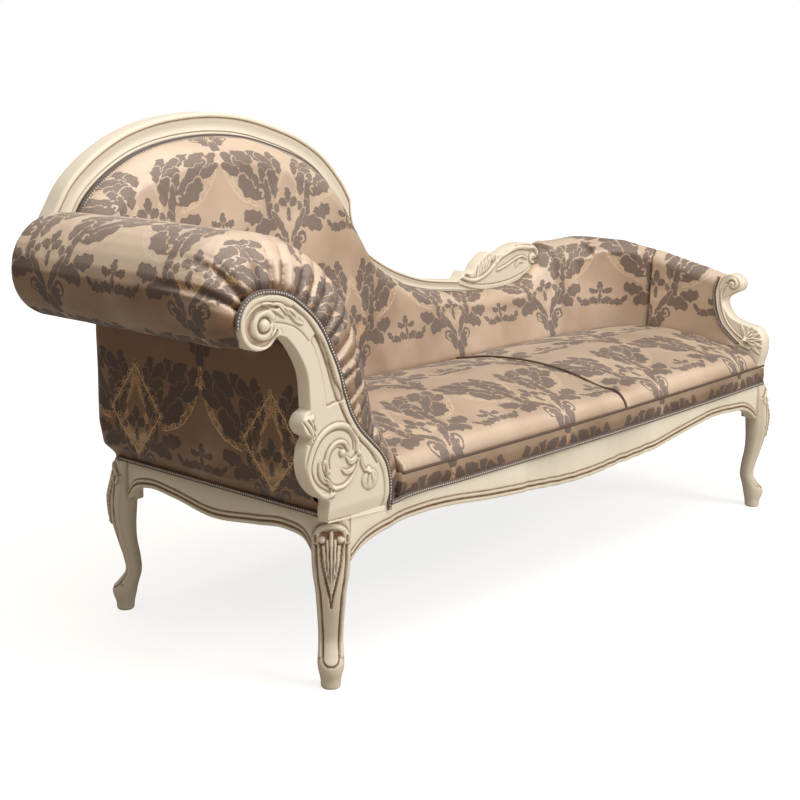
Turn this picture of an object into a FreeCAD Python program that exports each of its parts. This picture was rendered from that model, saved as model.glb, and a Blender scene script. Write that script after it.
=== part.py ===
import FreeCAD, Part
import math
import os

V = FreeCAD.Vector

# Overall size: length runs along X from the head end (minus) to the foot end (plus), front is minus Y
overall_length = 2026.0
overall_depth = 698.0
head_overhang = 310.0
foot_overhang = 33.0
front_overhang = 33.0
back_overhang = 33.0
seat_frame_top = 346.0
seating_gap = 0.3
overrun = 60.0
flattest_arc = 0.002
spiral_step = 72.0

# Seat frame
rail_thickness = 26.0
rail_inset = 11.0
rail_bow = 17.0
rail_bead_height = 7.0
rail_bead_lift = 11.0
rail_bead_proud = 2.5
rail_middle_drop = 90.0
rail_wave_rise = 44.0
side_middle_drop = 70.0
side_wave_rise = 23.0
ear_drop = 96.0
straight_rail_depth = 70.0
leg_block = 44.0
leg_block_round = 14.0
leg_block_depth = 92.0

# Cabriole legs
knee_width = 80.0
leg_sides = 12

# Hidden seat parts
slat_width = 45.0
slat_thickness = 22.0
slat_drop = 38.0
slat_count = 3
corner_block_thickness = 28.0
corner_block_height = 28.0
corner_block_reach = 112.0
bolt_radius = 4.0
bolt_length = 56.0
bolt_clearance = 0.3
nut_radius = 7.5
nut_height = 6.5
strap_width = 50.0
strap_thickness = 1.5
straps_per_bay = 3
long_strap_count = 4
dust_cover_thickness = 1.0

# Seat upholstery
seat_foam_height = 38.0
seat_front_inset = 12.0
border_thickness = 10.0
piping_height = 59.0
piping_radius = 3.2
piping_sides = 10
seat_crown = 131.0
seat_back_height = 104.0
seat_nose_depth = 54.0
seat_nose_rise = 42.0
seat_left_edge = 524.0
seat_seam_from_head = 1293.0
seat_end_drop = 9.0
seat_seam_dip = 7.0
gimp_height = 10.0
gimp_thickness = 4.0

# Scrolled arm at the head end
post_width = 386.0
post_above_panel = 99.0
post_thickness = 28.0
post_right_edge = 441.0
post_proud = 28.0
post_rim_width = 9.0
post_rim_proud = 3.5
post_panel_depth = 3.0
volute_radius = 49.0
volute_across = 338.0
volute_drop = 51.0
volute_band = 9.0
volute_proud = 5.0
volute_eye_radius = 9.0
scroll_radius = 62.0
scroll_across = 166.0
scroll_up = 120.0
scroll_band = 9.0
scroll_proud = 4.5
inner_scroll_radius = 31.0
inner_scroll_band = 8.0
leaf_proud = 3.5
shell_radius = 19.0
shell_ribs = 5
roll_radius = 102.0
roll_across_from_volute = 1.0
roll_up_from_volute = 48.0
arm_pad_front_round = 78.0
arm_pad_gap = 1.0
roll_back_gap = 31.0
roll_end_round = 22.0
roll_end_share = 0.75
arm_pad_back_gap = 3.7
core_pole_radius = 40.0
arm_rail_width = 40.0
arm_rail_height = 34.0
rear_board_thickness = 24.0
outside_panel_thickness = 12.0
outside_panel_bulge = 62.0
outside_panel_height = 354.0
outside_corner_round = 50.0

# Show-wood back
back_frame_thickness = 40.0
back_frame_inset = 74.0
arch_width = 880.0
arch_rise = 210.0
arch_left_height = 523.0
arch_left_from_head = 114.0
arch_band = 50.0
arch_leg_drop = 164.0
hump_length = 261.0
low_sweep_height = 243.0
low_band = 31.0
low_start_height = 525.0
moulding_rim = 13.0
moulding_proud = 4.5
moulding_recess = 1.5
crest_width = 342.0
crest_end_gap = 37.0
crest_height = 78.0
crest_base_height = 268.0
crest_thickness = 26.0
crest_hole_radius = 8.0
crest_volute_radius = 27.0
crest_scroll_proud = 4.0
upright_width = 45.0
low_rail_height = 60.0

# Back and foot-end upholstery
back_pad_depth = 96.0
back_pad_foot_gap = 4.0
back_pad_cover = 4.0
roll_clearance = 13.0
hump_height = 356.0
facets_per_bend = 4
hump_overhang_depth = 36.0
foot_arm_inner_depth = 63.0
foot_arm_seam_up = 343.0
foot_corner_round = 90.0
foot_core_depth = 33.0
corner_reach_share = 1.6
foot_outside_corner = 60.0

# Carved post at the foot end
foot_post_thickness = 45.0
foot_post_inset = 18.0
foot_post_depth = 128.0
foot_post_height = 196.0
foot_post_base_height = 99.0
foot_post_stump_depth = 52.0
foot_volute_radius = 24.0
foot_volute_band = 5.5

# Places that follow from the sizes above
x_min = -overall_length / 2
x_max = overall_length / 2
y_min = -overall_depth / 2
y_max = overall_depth / 2
x_head = x_min + head_overhang
x_foot = x_max - foot_overhang
y_front = y_min + front_overhang
y_back = y_max - back_overhang
x_head_face = x_head - rail_inset
x_foot_face = x_foot + rail_inset
x_arm_out = x_foot_face + outside_panel_thickness
y_front_face = y_front - rail_inset
y_back_face = y_back + rail_inset
x_mid = (x_head + x_foot) / 2
x_head_inner = x_head_face + rail_thickness
x_foot_inner = x_foot_face - rail_thickness
y_front_inner = y_front_face + rail_thickness
y_back_inner = y_back_face - rail_thickness
x_rail_start = x_head_face + leg_block
x_rail_end = x_foot_face - leg_block
y_rail_start = y_front_face + leg_block
y_rail_end = y_back_face - leg_block
z_top = seat_frame_top
x_post_right = x_min + post_right_edge
y_post_front = y_front - post_proud
y_post_back = y_post_front + post_thickness
x_volute = x_post_right - volute_across
post_height = outside_panel_height + post_above_panel
z_volute = z_top + post_height - volute_drop
x_roll = x_volute - roll_across_from_volute
z_roll = z_volute + roll_up_from_volute
y_frame_front = y_max - back_frame_inset
y_frame_back = y_frame_front + back_frame_thickness
y_pad_back = y_frame_front - seating_gap
y_pad_front = y_pad_back - back_pad_depth
x_seat_left = x_min + seat_left_edge
x_seat_seam = x_min + seat_seam_from_head
x_arm_inner = x_arm_out - foot_arm_inner_depth
z_hump = z_top + hump_height
x_arch_left = x_min + arch_left_from_head
z_arch_left = z_top + arch_left_height
x_low_start = x_arch_left + arch_width
x_frame_end = x_max - hump_length
low_sweep_width = x_frame_end - low_band - x_low_start
z_low_start = z_top + low_start_height

# Outline shares: each pair is across and up, as a share of the width and height named beside it

# Outer edge of the head arm post, from its right foot up to the top of the volute
post_edge_shares = [(0.0, 0.0), (0.0, 0.13), (0.022, 0.19), (0.057, 0.237), (0.132, 0.299), (0.218, 0.369),
                    (0.28, 0.442), (0.326, 0.527), (0.375, 0.65), (0.43, 0.741), (0.474, 0.808),
                    (0.529, 0.867), (0.606, 0.923), (0.681, 0.965), (0.754, 0.988), (0.82, 0.997)]
# Inner edge of the post, from under the volute down the neck and round the lower scroll to its left foot
post_neck_shares = [(0.764, 0.826), (0.72, 0.818), (0.668, 0.78), (0.617, 0.722), (0.577, 0.655),
                    (0.56, 0.56), (0.556, 0.5)]
post_tuft_shares = [(0.556, 0.5), (0.6, 0.482), (0.62, 0.455), (0.604, 0.415), (0.553, 0.383)]
post_scroll_shares = [(0.553, 0.383), (0.585, 0.33), (0.592, 0.275), (0.58, 0.225), (0.54, 0.165),
                      (0.488, 0.13), (0.44, 0.09), (0.43, 0.0)]
# Fabric over the arm, one point for each point of the post edge and then round the roll
arm_cover_shares = [(-0.184, 0.0), (-0.2, 0.13), (-0.172, 0.205), (-0.125, 0.26), (-0.085, 0.32),
                    (-0.035, 0.4), (-0.01, 0.475), (0.012, 0.56), (0.055, 0.69), (0.11, 0.8),
                    (0.165, 0.892), (0.245, 0.985), (0.36, 1.08), (0.5, 1.158), (0.65, 1.203), (0.79, 1.218)]
# Upper right corner of each rail that joins the post to the rear board
arm_rail_shares = [(0.02, 0.1), (0.38, 0.57), (0.55, 0.86)]
# Recessed panel on the neck of the post
neck_panel_shares = [(0.47, 0.775), (0.518, 0.728), (0.49, 0.62), (0.468, 0.505), (0.372, 0.515), (0.4, 0.64),
                     (0.435, 0.725)]
# Shoulder leaf beside the volute, and the small leaf strokes
shoulder_leaf_shares = [(0.625, 0.865), (0.695, 0.93), (0.785, 0.945), (0.72, 0.895)]
lower_leaf_shares = [(0.49, 0.262), (0.41, 0.155), (0.3, 0.19), (0.4, 0.2)]

# Lower edge of a long rail: distance from its middle as a share of half its length, height as a share of
# the wave, and the same for the short rails
rail_wave_shares = [(0.0, 0.0), (0.2, 0.13), (0.33, 0.36), (0.5, 0.73), (0.63, 0.98), (0.75, 1.0),
                    (0.86, 0.85), (0.93, 0.68)]
side_wave_shares = [(0.0, 0.0), (0.23, 0.2), (0.42, 0.6), (0.62, 0.98), (0.78, 0.95), (0.9, 0.6)]

# Leg sections: height as a share of the leg, then outward shift, half depth and half width as shares of
# the knee
leg_section_shares = [(0.0, 0.012, 0.237, 0.243), (0.05, 0.008, 0.256, 0.256), (0.115, 0.02, 0.33, 0.315),
                      (0.145, 0.005, 0.34, 0.33), (0.19, -0.1, 0.285, 0.318), (0.255, -0.235, 0.225, 0.306),
                      (0.355, -0.2, 0.235, 0.318), (0.455, -0.1, 0.262, 0.343), (0.585, -0.02, 0.33, 0.387),
                      (0.65, -0.01, 0.36, 0.43), (0.72, -0.012, 0.383, 0.46), (0.825, -0.06, 0.405, 0.475),
                      (0.925, -0.125, 0.375, 0.462), (1.0, -0.165, 0.335, 0.43)]

# Arch of the back, outer edge, from its left shoulder over the top to the cusp
arch_shares = [(0.0, 0.0), (0.024, 0.176), (0.055, 0.36), (0.1, 0.538), (0.155, 0.7), (0.215, 0.823),
               (0.305, 0.938), (0.4, 0.993), (0.495, 1.008), (0.595, 0.97), (0.7, 0.865), (0.807, 0.7),
               (0.882, 0.524), (0.94, 0.315), (0.981, 0.115), (1.0, 0.0)]
# Upper edge of the low sweep, from the cusp down to the crest and up round its end
low_sweep_shares = [(0.0, 1.0), (0.008, 0.825), (0.026, 0.67), (0.07, 0.475), (0.155, 0.306), (0.258, 0.175),
                    (0.363, 0.08), (0.47, 0.026), (0.555, 0.0), (0.66, -0.035), (0.8, -0.036), (0.9, 0.01),
                    (0.965, 0.105), (1.0, 0.28)]
# Top outline of the crest from its left tip to the volute on its right
crest_top_shares = [(0.0, 0.0), (0.055, 0.13), (0.11, 0.35), (0.19, 0.26), (0.255, 0.53), (0.31, 0.76),
                    (0.4, 0.9), (0.485, 0.82), (0.56, 0.88), (0.64, 1.0), (0.74, 1.07), (0.84, 1.05)]
crest_hole_across_share = 0.37
crest_hole_up_share = 0.52
crest_volute_across_share = 0.86
# Top line of the foot arm from the carved post back to the corner: depth share and height share
foot_top_shares = [(0.0, 0.82), (0.2, 0.865), (0.4, 0.905), (0.7, 0.96), (1.0, 1.0)]

# Foot post seen from the end: rear edge and front edge, shares of its depth and height above its base
foot_rear_shares = [(0.02, 0.0), (0.375, 0.055), (0.5, 0.11), (0.61, 0.195), (0.765, 0.3), (0.875, 0.45),
                    (0.94, 0.61), (0.955, 0.75), (0.86, 0.95)]
foot_front_shares = [(0.0, 0.045), (0.0, 0.14), (0.09, 0.225), (0.24, 0.27), (0.41, 0.345), (0.58, 0.415),
                     (0.69, 0.51), (0.75, 0.6), (0.71, 0.68)]
foot_volute_across_share = 0.63
foot_volute_up_share = 0.84
foot_ridge_shares = ((0.25, 1.0), (1.6, 2.3))


def line(start, end):
    return Part.makeLine(start, end)


def arc(start, middle, end):
    return Part.Arc(start, middle, end).toShape()


def curve(points):
    edges = []
    index = 0
    while index + 2 < len(points):
        start, middle, end = points[index], points[index + 1], points[index + 2]
        chord = end - start
        bulge = chord.cross(middle - start).Length / chord.Length
        if bulge > chord.Length * flattest_arc:
            edges.append(arc(start, middle, end))
        else:
            edges.append(line(start, end))
        index += 2
    if index + 1 < len(points):
        edges.append(line(points[index], points[index + 1]))
    return edges


def polygon_prism(points, push):
    wire = Part.makePolygon(points + [points[0]])
    return Part.Face(wire).extrude(push)


def edge_prism(edges, push):
    wire = Part.Wire(Part.__sortEdges__(edges))
    return Part.Face(wire).extrude(push)


def box_between(low, high):
    size = high - low
    return Part.makeBox(size.x, size.y, size.z, low)


def cylinder(radius, height, base, direction):
    return Part.makeCylinder(radius, height, base, direction)


def offset_line(points, distance):
    moved = []
    last = len(points) - 1
    for index, point in enumerate(points):
        before = points[max(index - 1, 0)]
        after = points[min(index + 1, last)]
        run = math.hypot(after[0] - before[0], after[1] - before[1])
        normal_x = (after[1] - before[1]) / run
        normal_z = -(after[0] - before[0]) / run
        moved.append((point[0] + normal_x * distance, point[1] + normal_z * distance))
    return moved


def upright_points(points, y):
    return [V(x, y, z) for x, z in points]


def post_points(shares):
    return [(x_post_right - across * post_width, z_top + up * post_height) for across, up in shares]


def circle_points(centre_x, centre_z, radius, start_degrees, end_degrees, count):
    points = []
    for index in range(count):
        angle = math.radians(start_degrees + (end_degrees - start_degrees) * index / (count - 1))
        points.append((centre_x + radius * math.cos(angle), centre_z + radius * math.sin(angle)))
    return points


def spiral_band(centre_x, centre_z, start_radius, end_radius, start_degrees, turn_degrees, band, y, push):
    steps = 2 * round(abs(turn_degrees) / spiral_step)
    outer = []
    inner = []
    for index in range(steps + 1):
        progress = index / steps
        angle = math.radians(start_degrees + turn_degrees * progress)
        radius = start_radius * (end_radius / start_radius) ** progress
        half = band / 2 * (1 - progress / 3)
        turn = (math.cos(angle), math.sin(angle))
        outer.append((centre_x + (radius + half) * turn[0], centre_z + (radius + half) * turn[1]))
        inner.append((centre_x + (radius - half) * turn[0], centre_z + (radius - half) * turn[1]))
    return band_prism(upright_points(outer, y), upright_points(inner, y), push)


def band_prism(outer, inner, push):
    edges = curve(outer) + [line(outer[-1], inner[-1])] + curve(inner) + [line(inner[0], outer[0])]
    return edge_prism(edges, push)


def closed_leaf(points, y, push):
    places = upright_points(points, y)
    return edge_prism(curve(places + [places[0]]), push)


def arc_points(start, middle, end):
    return edge_points(arc(start, middle, end))


def edge_points(edge):
    first = edge.FirstParameter
    step = (edge.LastParameter - first) / facets_per_bend
    return [edge.valueAt(first + step * index) for index in range(facets_per_bend + 1)]


def bent_points(points):
    found = [points[0]]
    for edge in curve(points):
        found += edge_points(edge)[1:]
    return found


# Legs

def leg_section(centre_x, centre_y, z, out_x, out_y, shift, half_depth, half_width):
    points = []
    for index in range(leg_sides):
        angle = 2 * math.pi * (index + 0.5) / leg_sides
        along = shift + half_depth * math.cos(angle)
        across = half_width * math.sin(angle)
        x = centre_x + (out_x * along - out_y * across) / math.sqrt(2)
        y = centre_y + (out_y * along + out_x * across) / math.sqrt(2)
        points.append(V(x, y, z))
    return points


def ring_solid(rings):
    faces = [Part.Face(Part.makePolygon(ring + [ring[0]])) for ring in (rings[0], rings[-1])]
    count = len(rings[0])
    for low, high in zip(rings[:-1], rings[1:]):
        for index in range(count):
            after = (index + 1) % count
            for corners in ((low[index], low[after], high[after]), (low[index], high[after], high[index])):
                faces.append(Part.Face(Part.makePolygon(list(corners) + [corners[0]])))
    return Part.Solid(Part.Shell(faces))


def leg(foot_x, foot_y, out_x, out_y):
    rings = []
    for up, shift, half_depth, half_width in leg_section_shares:
        rings.append(leg_section(foot_x, foot_y, up * seat_frame_top, out_x, out_y,
                                 shift * knee_width, half_depth * knee_width, half_width * knee_width))
    turned = ring_solid(rings)
    face_x = foot_x + out_x * rail_inset
    face_y = foot_y + out_y * rail_inset
    inner_x = face_x - out_x * leg_block
    inner_y = face_y - out_y * leg_block
    z_low = seat_frame_top - ear_drop - ear_drop / 8
    side = knee_width + overrun
    keep_x = V(min(inner_x, inner_x - out_x * side), foot_y - side, z_low)
    keep_y = V(foot_x - side, min(inner_y, inner_y - out_y * side), z_low)
    turned = turned.cut(Part.makeBox(side, 2 * side, side + overrun, keep_x))
    turned = turned.cut(Part.makeBox(2 * side, side, side + overrun, keep_y))
    low = V(min(face_x, inner_x), min(face_y, inner_y), seat_frame_top - leg_block_depth)
    block = Part.makeBox(leg_block, leg_block, leg_block_depth, low)
    corner = []
    for edge in block.Edges:
        away = [abs(end.X - face_x) + abs(end.Y - face_y) for end in edge.Vertexes]
        if max(away) < seating_gap:
            corner.append(edge)
    block = block.makeFillet(leg_block_round, corner)
    whole = turned.fuse(block).removeSplitter()
    hole = bolt_hole(foot_x, foot_y, out_x, out_y, bolt_radius)
    return whole.cut(hole)


# Bolts through the corner blocks into the legs

def block_line(foot_x, foot_y, out_x, out_y, distance):
    corner_x = foot_x + out_x * (rail_inset - rail_thickness)
    corner_y = foot_y + out_y * (rail_inset - rail_thickness)
    return [V(corner_x - out_x * distance, corner_y, 0), V(corner_x, corner_y - out_y * distance, 0)]


def bolt_start(foot_x, foot_y, out_x, out_y):
    near, far = block_line(foot_x, foot_y, out_x, out_y, corner_block_reach)
    middle = (near + far) / 2
    return V(middle.x, middle.y, z_bolt)


def bolt_direction(out_x, out_y):
    return V(out_x, out_y, 0) / math.sqrt(2)


def bolt_hole(foot_x, foot_y, out_x, out_y, radius):
    start = bolt_start(foot_x, foot_y, out_x, out_y)
    direction = bolt_direction(out_x, out_y)
    return cylinder(radius, bolt_length, start, direction)


def corner_block(foot_x, foot_y, out_x, out_y):
    inner = block_line(foot_x, foot_y, out_x, out_y, corner_block_reach)
    near_reach = corner_block_reach - corner_block_thickness * math.sqrt(2)
    outer = block_line(foot_x, foot_y, out_x, out_y, near_reach)
    points = [inner[0], inner[1], outer[1], outer[0]]
    lift = V(0, 0, z_bolt - corner_block_height / 2)
    solid = polygon_prism([point + lift for point in points], V(0, 0, corner_block_height))
    return solid.cut(bolt_hole(foot_x, foot_y, out_x, out_y, bolt_radius + bolt_clearance))


def leg_bolt(foot_x, foot_y, out_x, out_y):
    start = bolt_start(foot_x, foot_y, out_x, out_y)
    direction = bolt_direction(out_x, out_y)
    tail = start - direction * nut_height
    shank = cylinder(bolt_radius, bolt_length + nut_height, tail, direction)
    across = V(-direction.y, direction.x, 0)
    corners = []
    for index in range(6):
        angle = math.radians(60 * index)
        corner = across * (nut_radius * math.cos(angle)) + V(0, 0, nut_radius * math.sin(angle))
        corners.append(tail + corner)
    nut = polygon_prism(corners, direction * nut_height)
    return shank.fuse(nut)


# Rails

def wave_points(shares, half_length, low_height, wave_rise):
    right = [(share * half_length, low_height + up * wave_rise) for share, up in shares]
    left = [(-across, up) for across, up in reversed(right[1:])]
    return left + right


def rail_outline(half_length, shares, middle_drop, wave_rise):
    low = wave_points(shares, half_length, z_top - middle_drop, wave_rise)
    ear = (half_length, z_top - ear_drop)
    return [(-half_length, z_top - ear_drop)] + low + [ear]


def long_rail_front():
    half = (x_rail_end - x_rail_start) / 2
    centre = (x_rail_end + x_rail_start) / 2
    points = rail_outline(half, rail_wave_shares, rail_middle_drop, rail_wave_rise)
    low = [V(centre + x, y_front_face - overrun, z) for x, z in points]
    corner_right = V(centre + half, y_front_face - overrun, z_top)
    corner_left = V(centre - half, y_front_face - overrun, z_top)
    edges = curve(low) + [line(low[-1], corner_right), line(corner_right, corner_left)]
    edges.append(line(corner_left, low[0]))
    elevation = edge_prism(edges, V(0, 2 * overrun + rail_thickness, 0))
    plan = front_strip(x_rail_start, x_rail_end, 0, y_front_inner, z_top - rail_middle_drop - overrun, z_top)
    rail = elevation.common(plan)
    bead_low = upright_points([(centre + x, z + rail_bead_lift) for x, z in points], y_front_face - overrun)
    bead_high = upright_points([(centre + x, z + rail_bead_lift + rail_bead_height) for x, z in points],
                               y_front_face - overrun)
    bead = band_prism(bead_low, bead_high, V(0, 2 * overrun + rail_thickness, 0))
    bead = bead.common(front_strip(x_rail_start, x_rail_end, rail_bead_proud, y_front_inner,
                                   z_top - rail_middle_drop - overrun, z_top))
    return rail.fuse(bead)


def front_bow_point(x, proud):
    half = (x_rail_end - x_rail_start) / 2
    share = (x - x_mid) / half
    return y_front_face - proud - rail_bow * (1 - share * share)


def front_strip(x_low, x_high, proud, y_rear, z_low, z_high):
    middle = (x_low + x_high) / 2
    start = V(x_low, front_bow_point(x_low, proud), z_low)
    through = V(middle, front_bow_point(middle, proud), z_low)
    end = V(x_high, front_bow_point(x_high, proud), z_low)
    back_right = V(x_high, y_rear, z_low)
    back_left = V(x_low, y_rear, z_low)
    edges = [arc(start, through, end), line(end, back_right), line(back_right, back_left)]
    edges.append(line(back_left, start))
    return edge_prism(edges, V(0, 0, z_high - z_low))


def bowed_band(x_low, x_high, proud, thickness, z_low, z_high):
    middle = (x_low + x_high) / 2
    outer = [V(x, front_bow_point(x, proud), z_low) for x in (x_low, middle, x_high)]
    inner = [point + V(0, thickness, 0) for point in outer]
    edges = [arc(outer[0], outer[1], outer[2]), line(outer[2], inner[2]),
             arc(inner[2], inner[1], inner[0]), line(inner[0], outer[0])]
    return edge_prism(edges, V(0, 0, z_high - z_low))


def long_rail_back():
    low = V(x_rail_start, y_back_inner, z_top - straight_rail_depth)
    return box_between(low, V(x_rail_end, y_back_face, z_top))


def side_rail(face_x, inner_x, out_x):
    half = (y_rail_end - y_rail_start) / 2
    centre = (y_rail_end + y_rail_start) / 2
    points = rail_outline(half, side_wave_shares, side_middle_drop, side_wave_rise)
    reach = V(inner_x - face_x, 0, 0)
    low = [V(face_x, centre + y, z) for y, z in points]
    top_end = V(face_x, centre + half, z_top)
    top_start = V(face_x, centre - half, z_top)
    edges = curve(low) + [line(low[-1], top_end), line(top_end, top_start), line(top_start, low[0])]
    elevation = edge_prism(edges, reach)
    lift = V(out_x * rail_bead_proud, 0, rail_bead_lift)
    bead_low = [point + lift for point in low]
    bead_high = [point + V(0, 0, rail_bead_height) for point in bead_low]
    bead = band_prism(bead_low, bead_high, V(-2 * out_x * rail_bead_proud, 0, 0))
    return elevation.fuse(bead)


# Seat suspension

def slats():
    solids = []
    z_high = z_top - slat_drop / 2
    for index in range(slat_count):
        x = x_head_inner + (x_foot_inner - x_head_inner) * (index + 1) / (slat_count + 1)
        low = V(x - slat_width / 2, y_front_inner, z_high - slat_thickness)
        solids.append(box_between(low, V(x + slat_width / 2, y_back_inner, z_high)))
    return solids


def upright_places():
    first = x_head_inner + corner_block_reach + upright_width / 2 + seating_gap
    last = x_low_start + low_sweep_width - upright_width
    return [first + (last - first) * index / 3 for index in range(4)]


def cross_straps():
    solids = []
    places = [x_seat_left] + upright_places()[1:] + [x_foot_inner - strap_width]
    for start, end in zip(places[:-1], places[1:]):
        for index in range(straps_per_bay):
            x = start + (end - start) * (index + 1) / (straps_per_bay + 1)
            low = V(x - strap_width / 2, y_front_inner - rail_thickness / 2, z_top)
            high = V(x + strap_width / 2, y_back_inner + rail_thickness / 2, z_top + strap_thickness)
            solids.append(box_between(low, high))
    return solids


def long_straps():
    solids = []
    z_low = z_top + strap_thickness + seating_gap
    for index in range(long_strap_count):
        y = y_front_inner + (y_pad_front - y_front_inner) * (index + 0.5) / long_strap_count
        low = V(x_seat_left, y - strap_width / 2, z_low)
        high = V(x_foot_inner - strap_width / 2, y + strap_width / 2, z_low + strap_thickness)
        solids.append(box_between(low, high))
    return solids


def dust_cover():
    z_high = z_bolt - corner_block_height / 2 - seating_gap
    low = V(x_head_inner + seating_gap, y_front_inner + seating_gap, z_high - dust_cover_thickness)
    sheet = box_between(low, V(x_foot_inner - seating_gap, y_back_inner - seating_gap, z_high))
    reach = leg_block - rail_thickness + 2 * seating_gap
    for corner_x, out_x in ((x_head_inner, -1), (x_foot_inner, 1)):
        for corner_y, out_y in ((y_front_inner, -1), (y_back_inner, 1)):
            notch = V(min(corner_x, corner_x - out_x * reach), min(corner_y, corner_y - out_y * reach),
                      z_high - overrun)
            sheet = sheet.cut(Part.makeBox(reach, reach, 2 * overrun, notch))
    return sheet


# Seat upholstery

z_piping = z_top + piping_height
z_foam_low = z_top + 2 * strap_thickness + 2 * seating_gap
z_foam_high = z_foam_low + seat_foam_height
z_bolt = z_top - slat_drop / 2 - slat_thickness / 2


def seat_foam():
    low = V(x_seat_left + arm_pad_gap, y_front_face + border_thickness, z_foam_low)
    high = V(x_foot_post_in - leaf_proud - seating_gap, y_pad_front - seating_gap, z_foam_high)
    return box_between(low, high).cut(foot_pad_space())


# Middle of the seat's rounded nose: back and up, as shares of the nose
nose_depth_share = 0.25
nose_rise_share = 0.62


def seat_line(x, front_drop, crown_drop):
    y_nose = front_bow_point(x, 0) + seat_front_inset / 2
    y_rear = y_pad_front - seating_gap
    z_edge = z_piping - front_drop
    front_top = V(x, y_nose, z_edge)
    nose_mid = V(x, y_nose + seat_nose_depth * nose_depth_share, z_edge + seat_nose_rise * nose_rise_share)
    nose = V(x, y_nose + seat_nose_depth, z_edge + seat_nose_rise - crown_drop / 2)
    crown = V(x, (y_nose + y_rear) / 2 - seat_nose_depth * nose_depth_share, z_top + seat_crown - crown_drop)
    rear = V(x, y_rear, z_top + seat_back_height - crown_drop / 2)
    return front_top, nose_mid, nose, crown, rear


def seat_section(x, front_drop, crown_drop):
    front_top, nose_mid, nose, crown, rear = seat_line(x, front_drop, crown_drop)
    z_low = z_foam_high + seating_gap
    over = arc_points(front_top, nose_mid, nose) + arc_points(nose, crown, rear)[1:]
    return [V(x, front_top.y, z_low)] + over + [V(x, rear.y, z_low)]


def seat_pad(x_low, x_high, drops):
    rings = []
    for share, front_drop, crown_drop in drops:
        rings.append(seat_section(x_low + (x_high - x_low) * share, front_drop, crown_drop))
    return ring_solid(rings)


# Shares along a seat pad, each with its front drop and crown drop as shares of the named drops
seat_pad_shares = [(0.0, 1.0, 1.0), (0.06, 0.55, 0.55), (0.3, 0.1, 0.12), (0.5, 0.0, 0.0), (0.7, 0.1, 0.12),
                   (0.94, 0.55, 0.55), (1.0, 1.0, 1.0)]


def seat_drops():
    return [(share, front * seat_seam_dip, crown * seat_end_drop) for share, front, crown in seat_pad_shares]


def seat_pad_head():
    return seat_pad(x_seat_left + arm_pad_gap, x_seat_seam - piping_radius, seat_drops())


def seat_pad_foot():
    pad = seat_pad(x_seat_seam + piping_radius, x_foot_face - rail_inset, seat_drops())
    return pad.cut(foot_post_space()).cut(foot_pad_space())


def seat_welt():
    x = x_seat_seam - piping_radius + seating_gap
    front_top, nose_mid, nose, crown, rear = seat_line(x, seat_seam_dip, seat_end_drop)
    top = arc_points(front_top, nose_mid, nose) + arc_points(nose, crown, rear)[1:]
    lift = V(0, 0, piping_radius)
    outline = top + [point + lift for point in reversed(top)]
    return polygon_prism(outline, V(2 * (piping_radius - seating_gap), 0, 0))


def seat_border():
    return bowed_band(x_seat_left, x_foot_face - rail_inset, 0, border_thickness / 2,
                      z_top, z_piping - piping_radius - seat_seam_dip)


def seat_piping():
    radius = piping_radius - seating_gap
    z = z_piping - seat_seam_dip
    x_low = x_seat_left
    x_high = x_foot_face - rail_inset
    start, middle, end = [V(x, front_bow_point(x, 0), z) for x in (x_low, (x_low + x_high) / 2, x_high)]
    path = Part.Wire([arc(start, middle, end)])
    profile = []
    for index in range(piping_sides):
        angle = 2 * math.pi * index / piping_sides
        profile.append(start + V(0, radius * math.cos(angle), radius * math.sin(angle)))
    return path.makePipeShell([Part.makePolygon(profile + [profile[0]])], True, True)


def front_gimp():
    return bowed_band(x_seat_left, x_foot_face - rail_inset, gimp_thickness + seating_gap, gimp_thickness,
                      z_top, z_top + gimp_height)


# Head arm

def post_edge():
    return post_points(post_edge_shares)


def volute_arc():
    return circle_points(x_volute, z_volute, volute_radius, 95, 320, 11)


def post_outline_edges(y):
    edge = upright_points(post_edge() + volute_arc(), y)
    neck = upright_points(post_points(post_neck_shares), y)
    tuft = upright_points(post_points(post_tuft_shares), y)
    scroll = upright_points(post_points(post_scroll_shares), y)
    edges = curve(edge) + [line(edge[-1], neck[0])] + curve(neck) + curve(tuft) + curve(scroll)
    return edges + [line(scroll[-1], edge[0])]


def post_plate(y, thickness):
    return edge_prism(post_outline_edges(y), V(0, thickness, 0))


def rim_band():
    outer = offset_line(post_edge(), -seating_gap * 4)
    inner = offset_line(post_edge(), -post_rim_width)
    outer = upright_points(outer[1:], y_post_front - post_rim_proud)
    inner = upright_points(inner[1:], y_post_front - post_rim_proud)
    return band_prism(outer, inner, V(0, post_rim_proud * 2, 0))


shell_centre_share = (0.145, 0.19)
shell_long_share = 1.5
rib_belly_share = 0.6
scroll_ball_share = (0.29, 0.25)


def shell_carving():
    centre = post_points([shell_centre_share])[0]
    solids = []
    for index in range(shell_ribs):
        spread = math.radians(200 + 140 * index / (shell_ribs - 1))
        tip_x = centre[0] + shell_radius * math.cos(spread)
        tip_z = centre[1] + shell_radius * shell_long_share * math.sin(spread)
        turn = V(tip_x - centre[0], 0, tip_z - centre[1])
        side = V(turn.z, 0, -turn.x) / turn.Length * (shell_radius / shell_ribs)
        root = V(centre[0], y_post_front - leaf_proud, centre[1])
        tip = root + turn
        belly = root + turn * rib_belly_share
        edges = [arc(root, belly + side, tip), arc(tip, belly - side, root)]
        solids.append(edge_prism(edges, V(0, leaf_proud * 2, 0)))
    return solids


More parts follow.
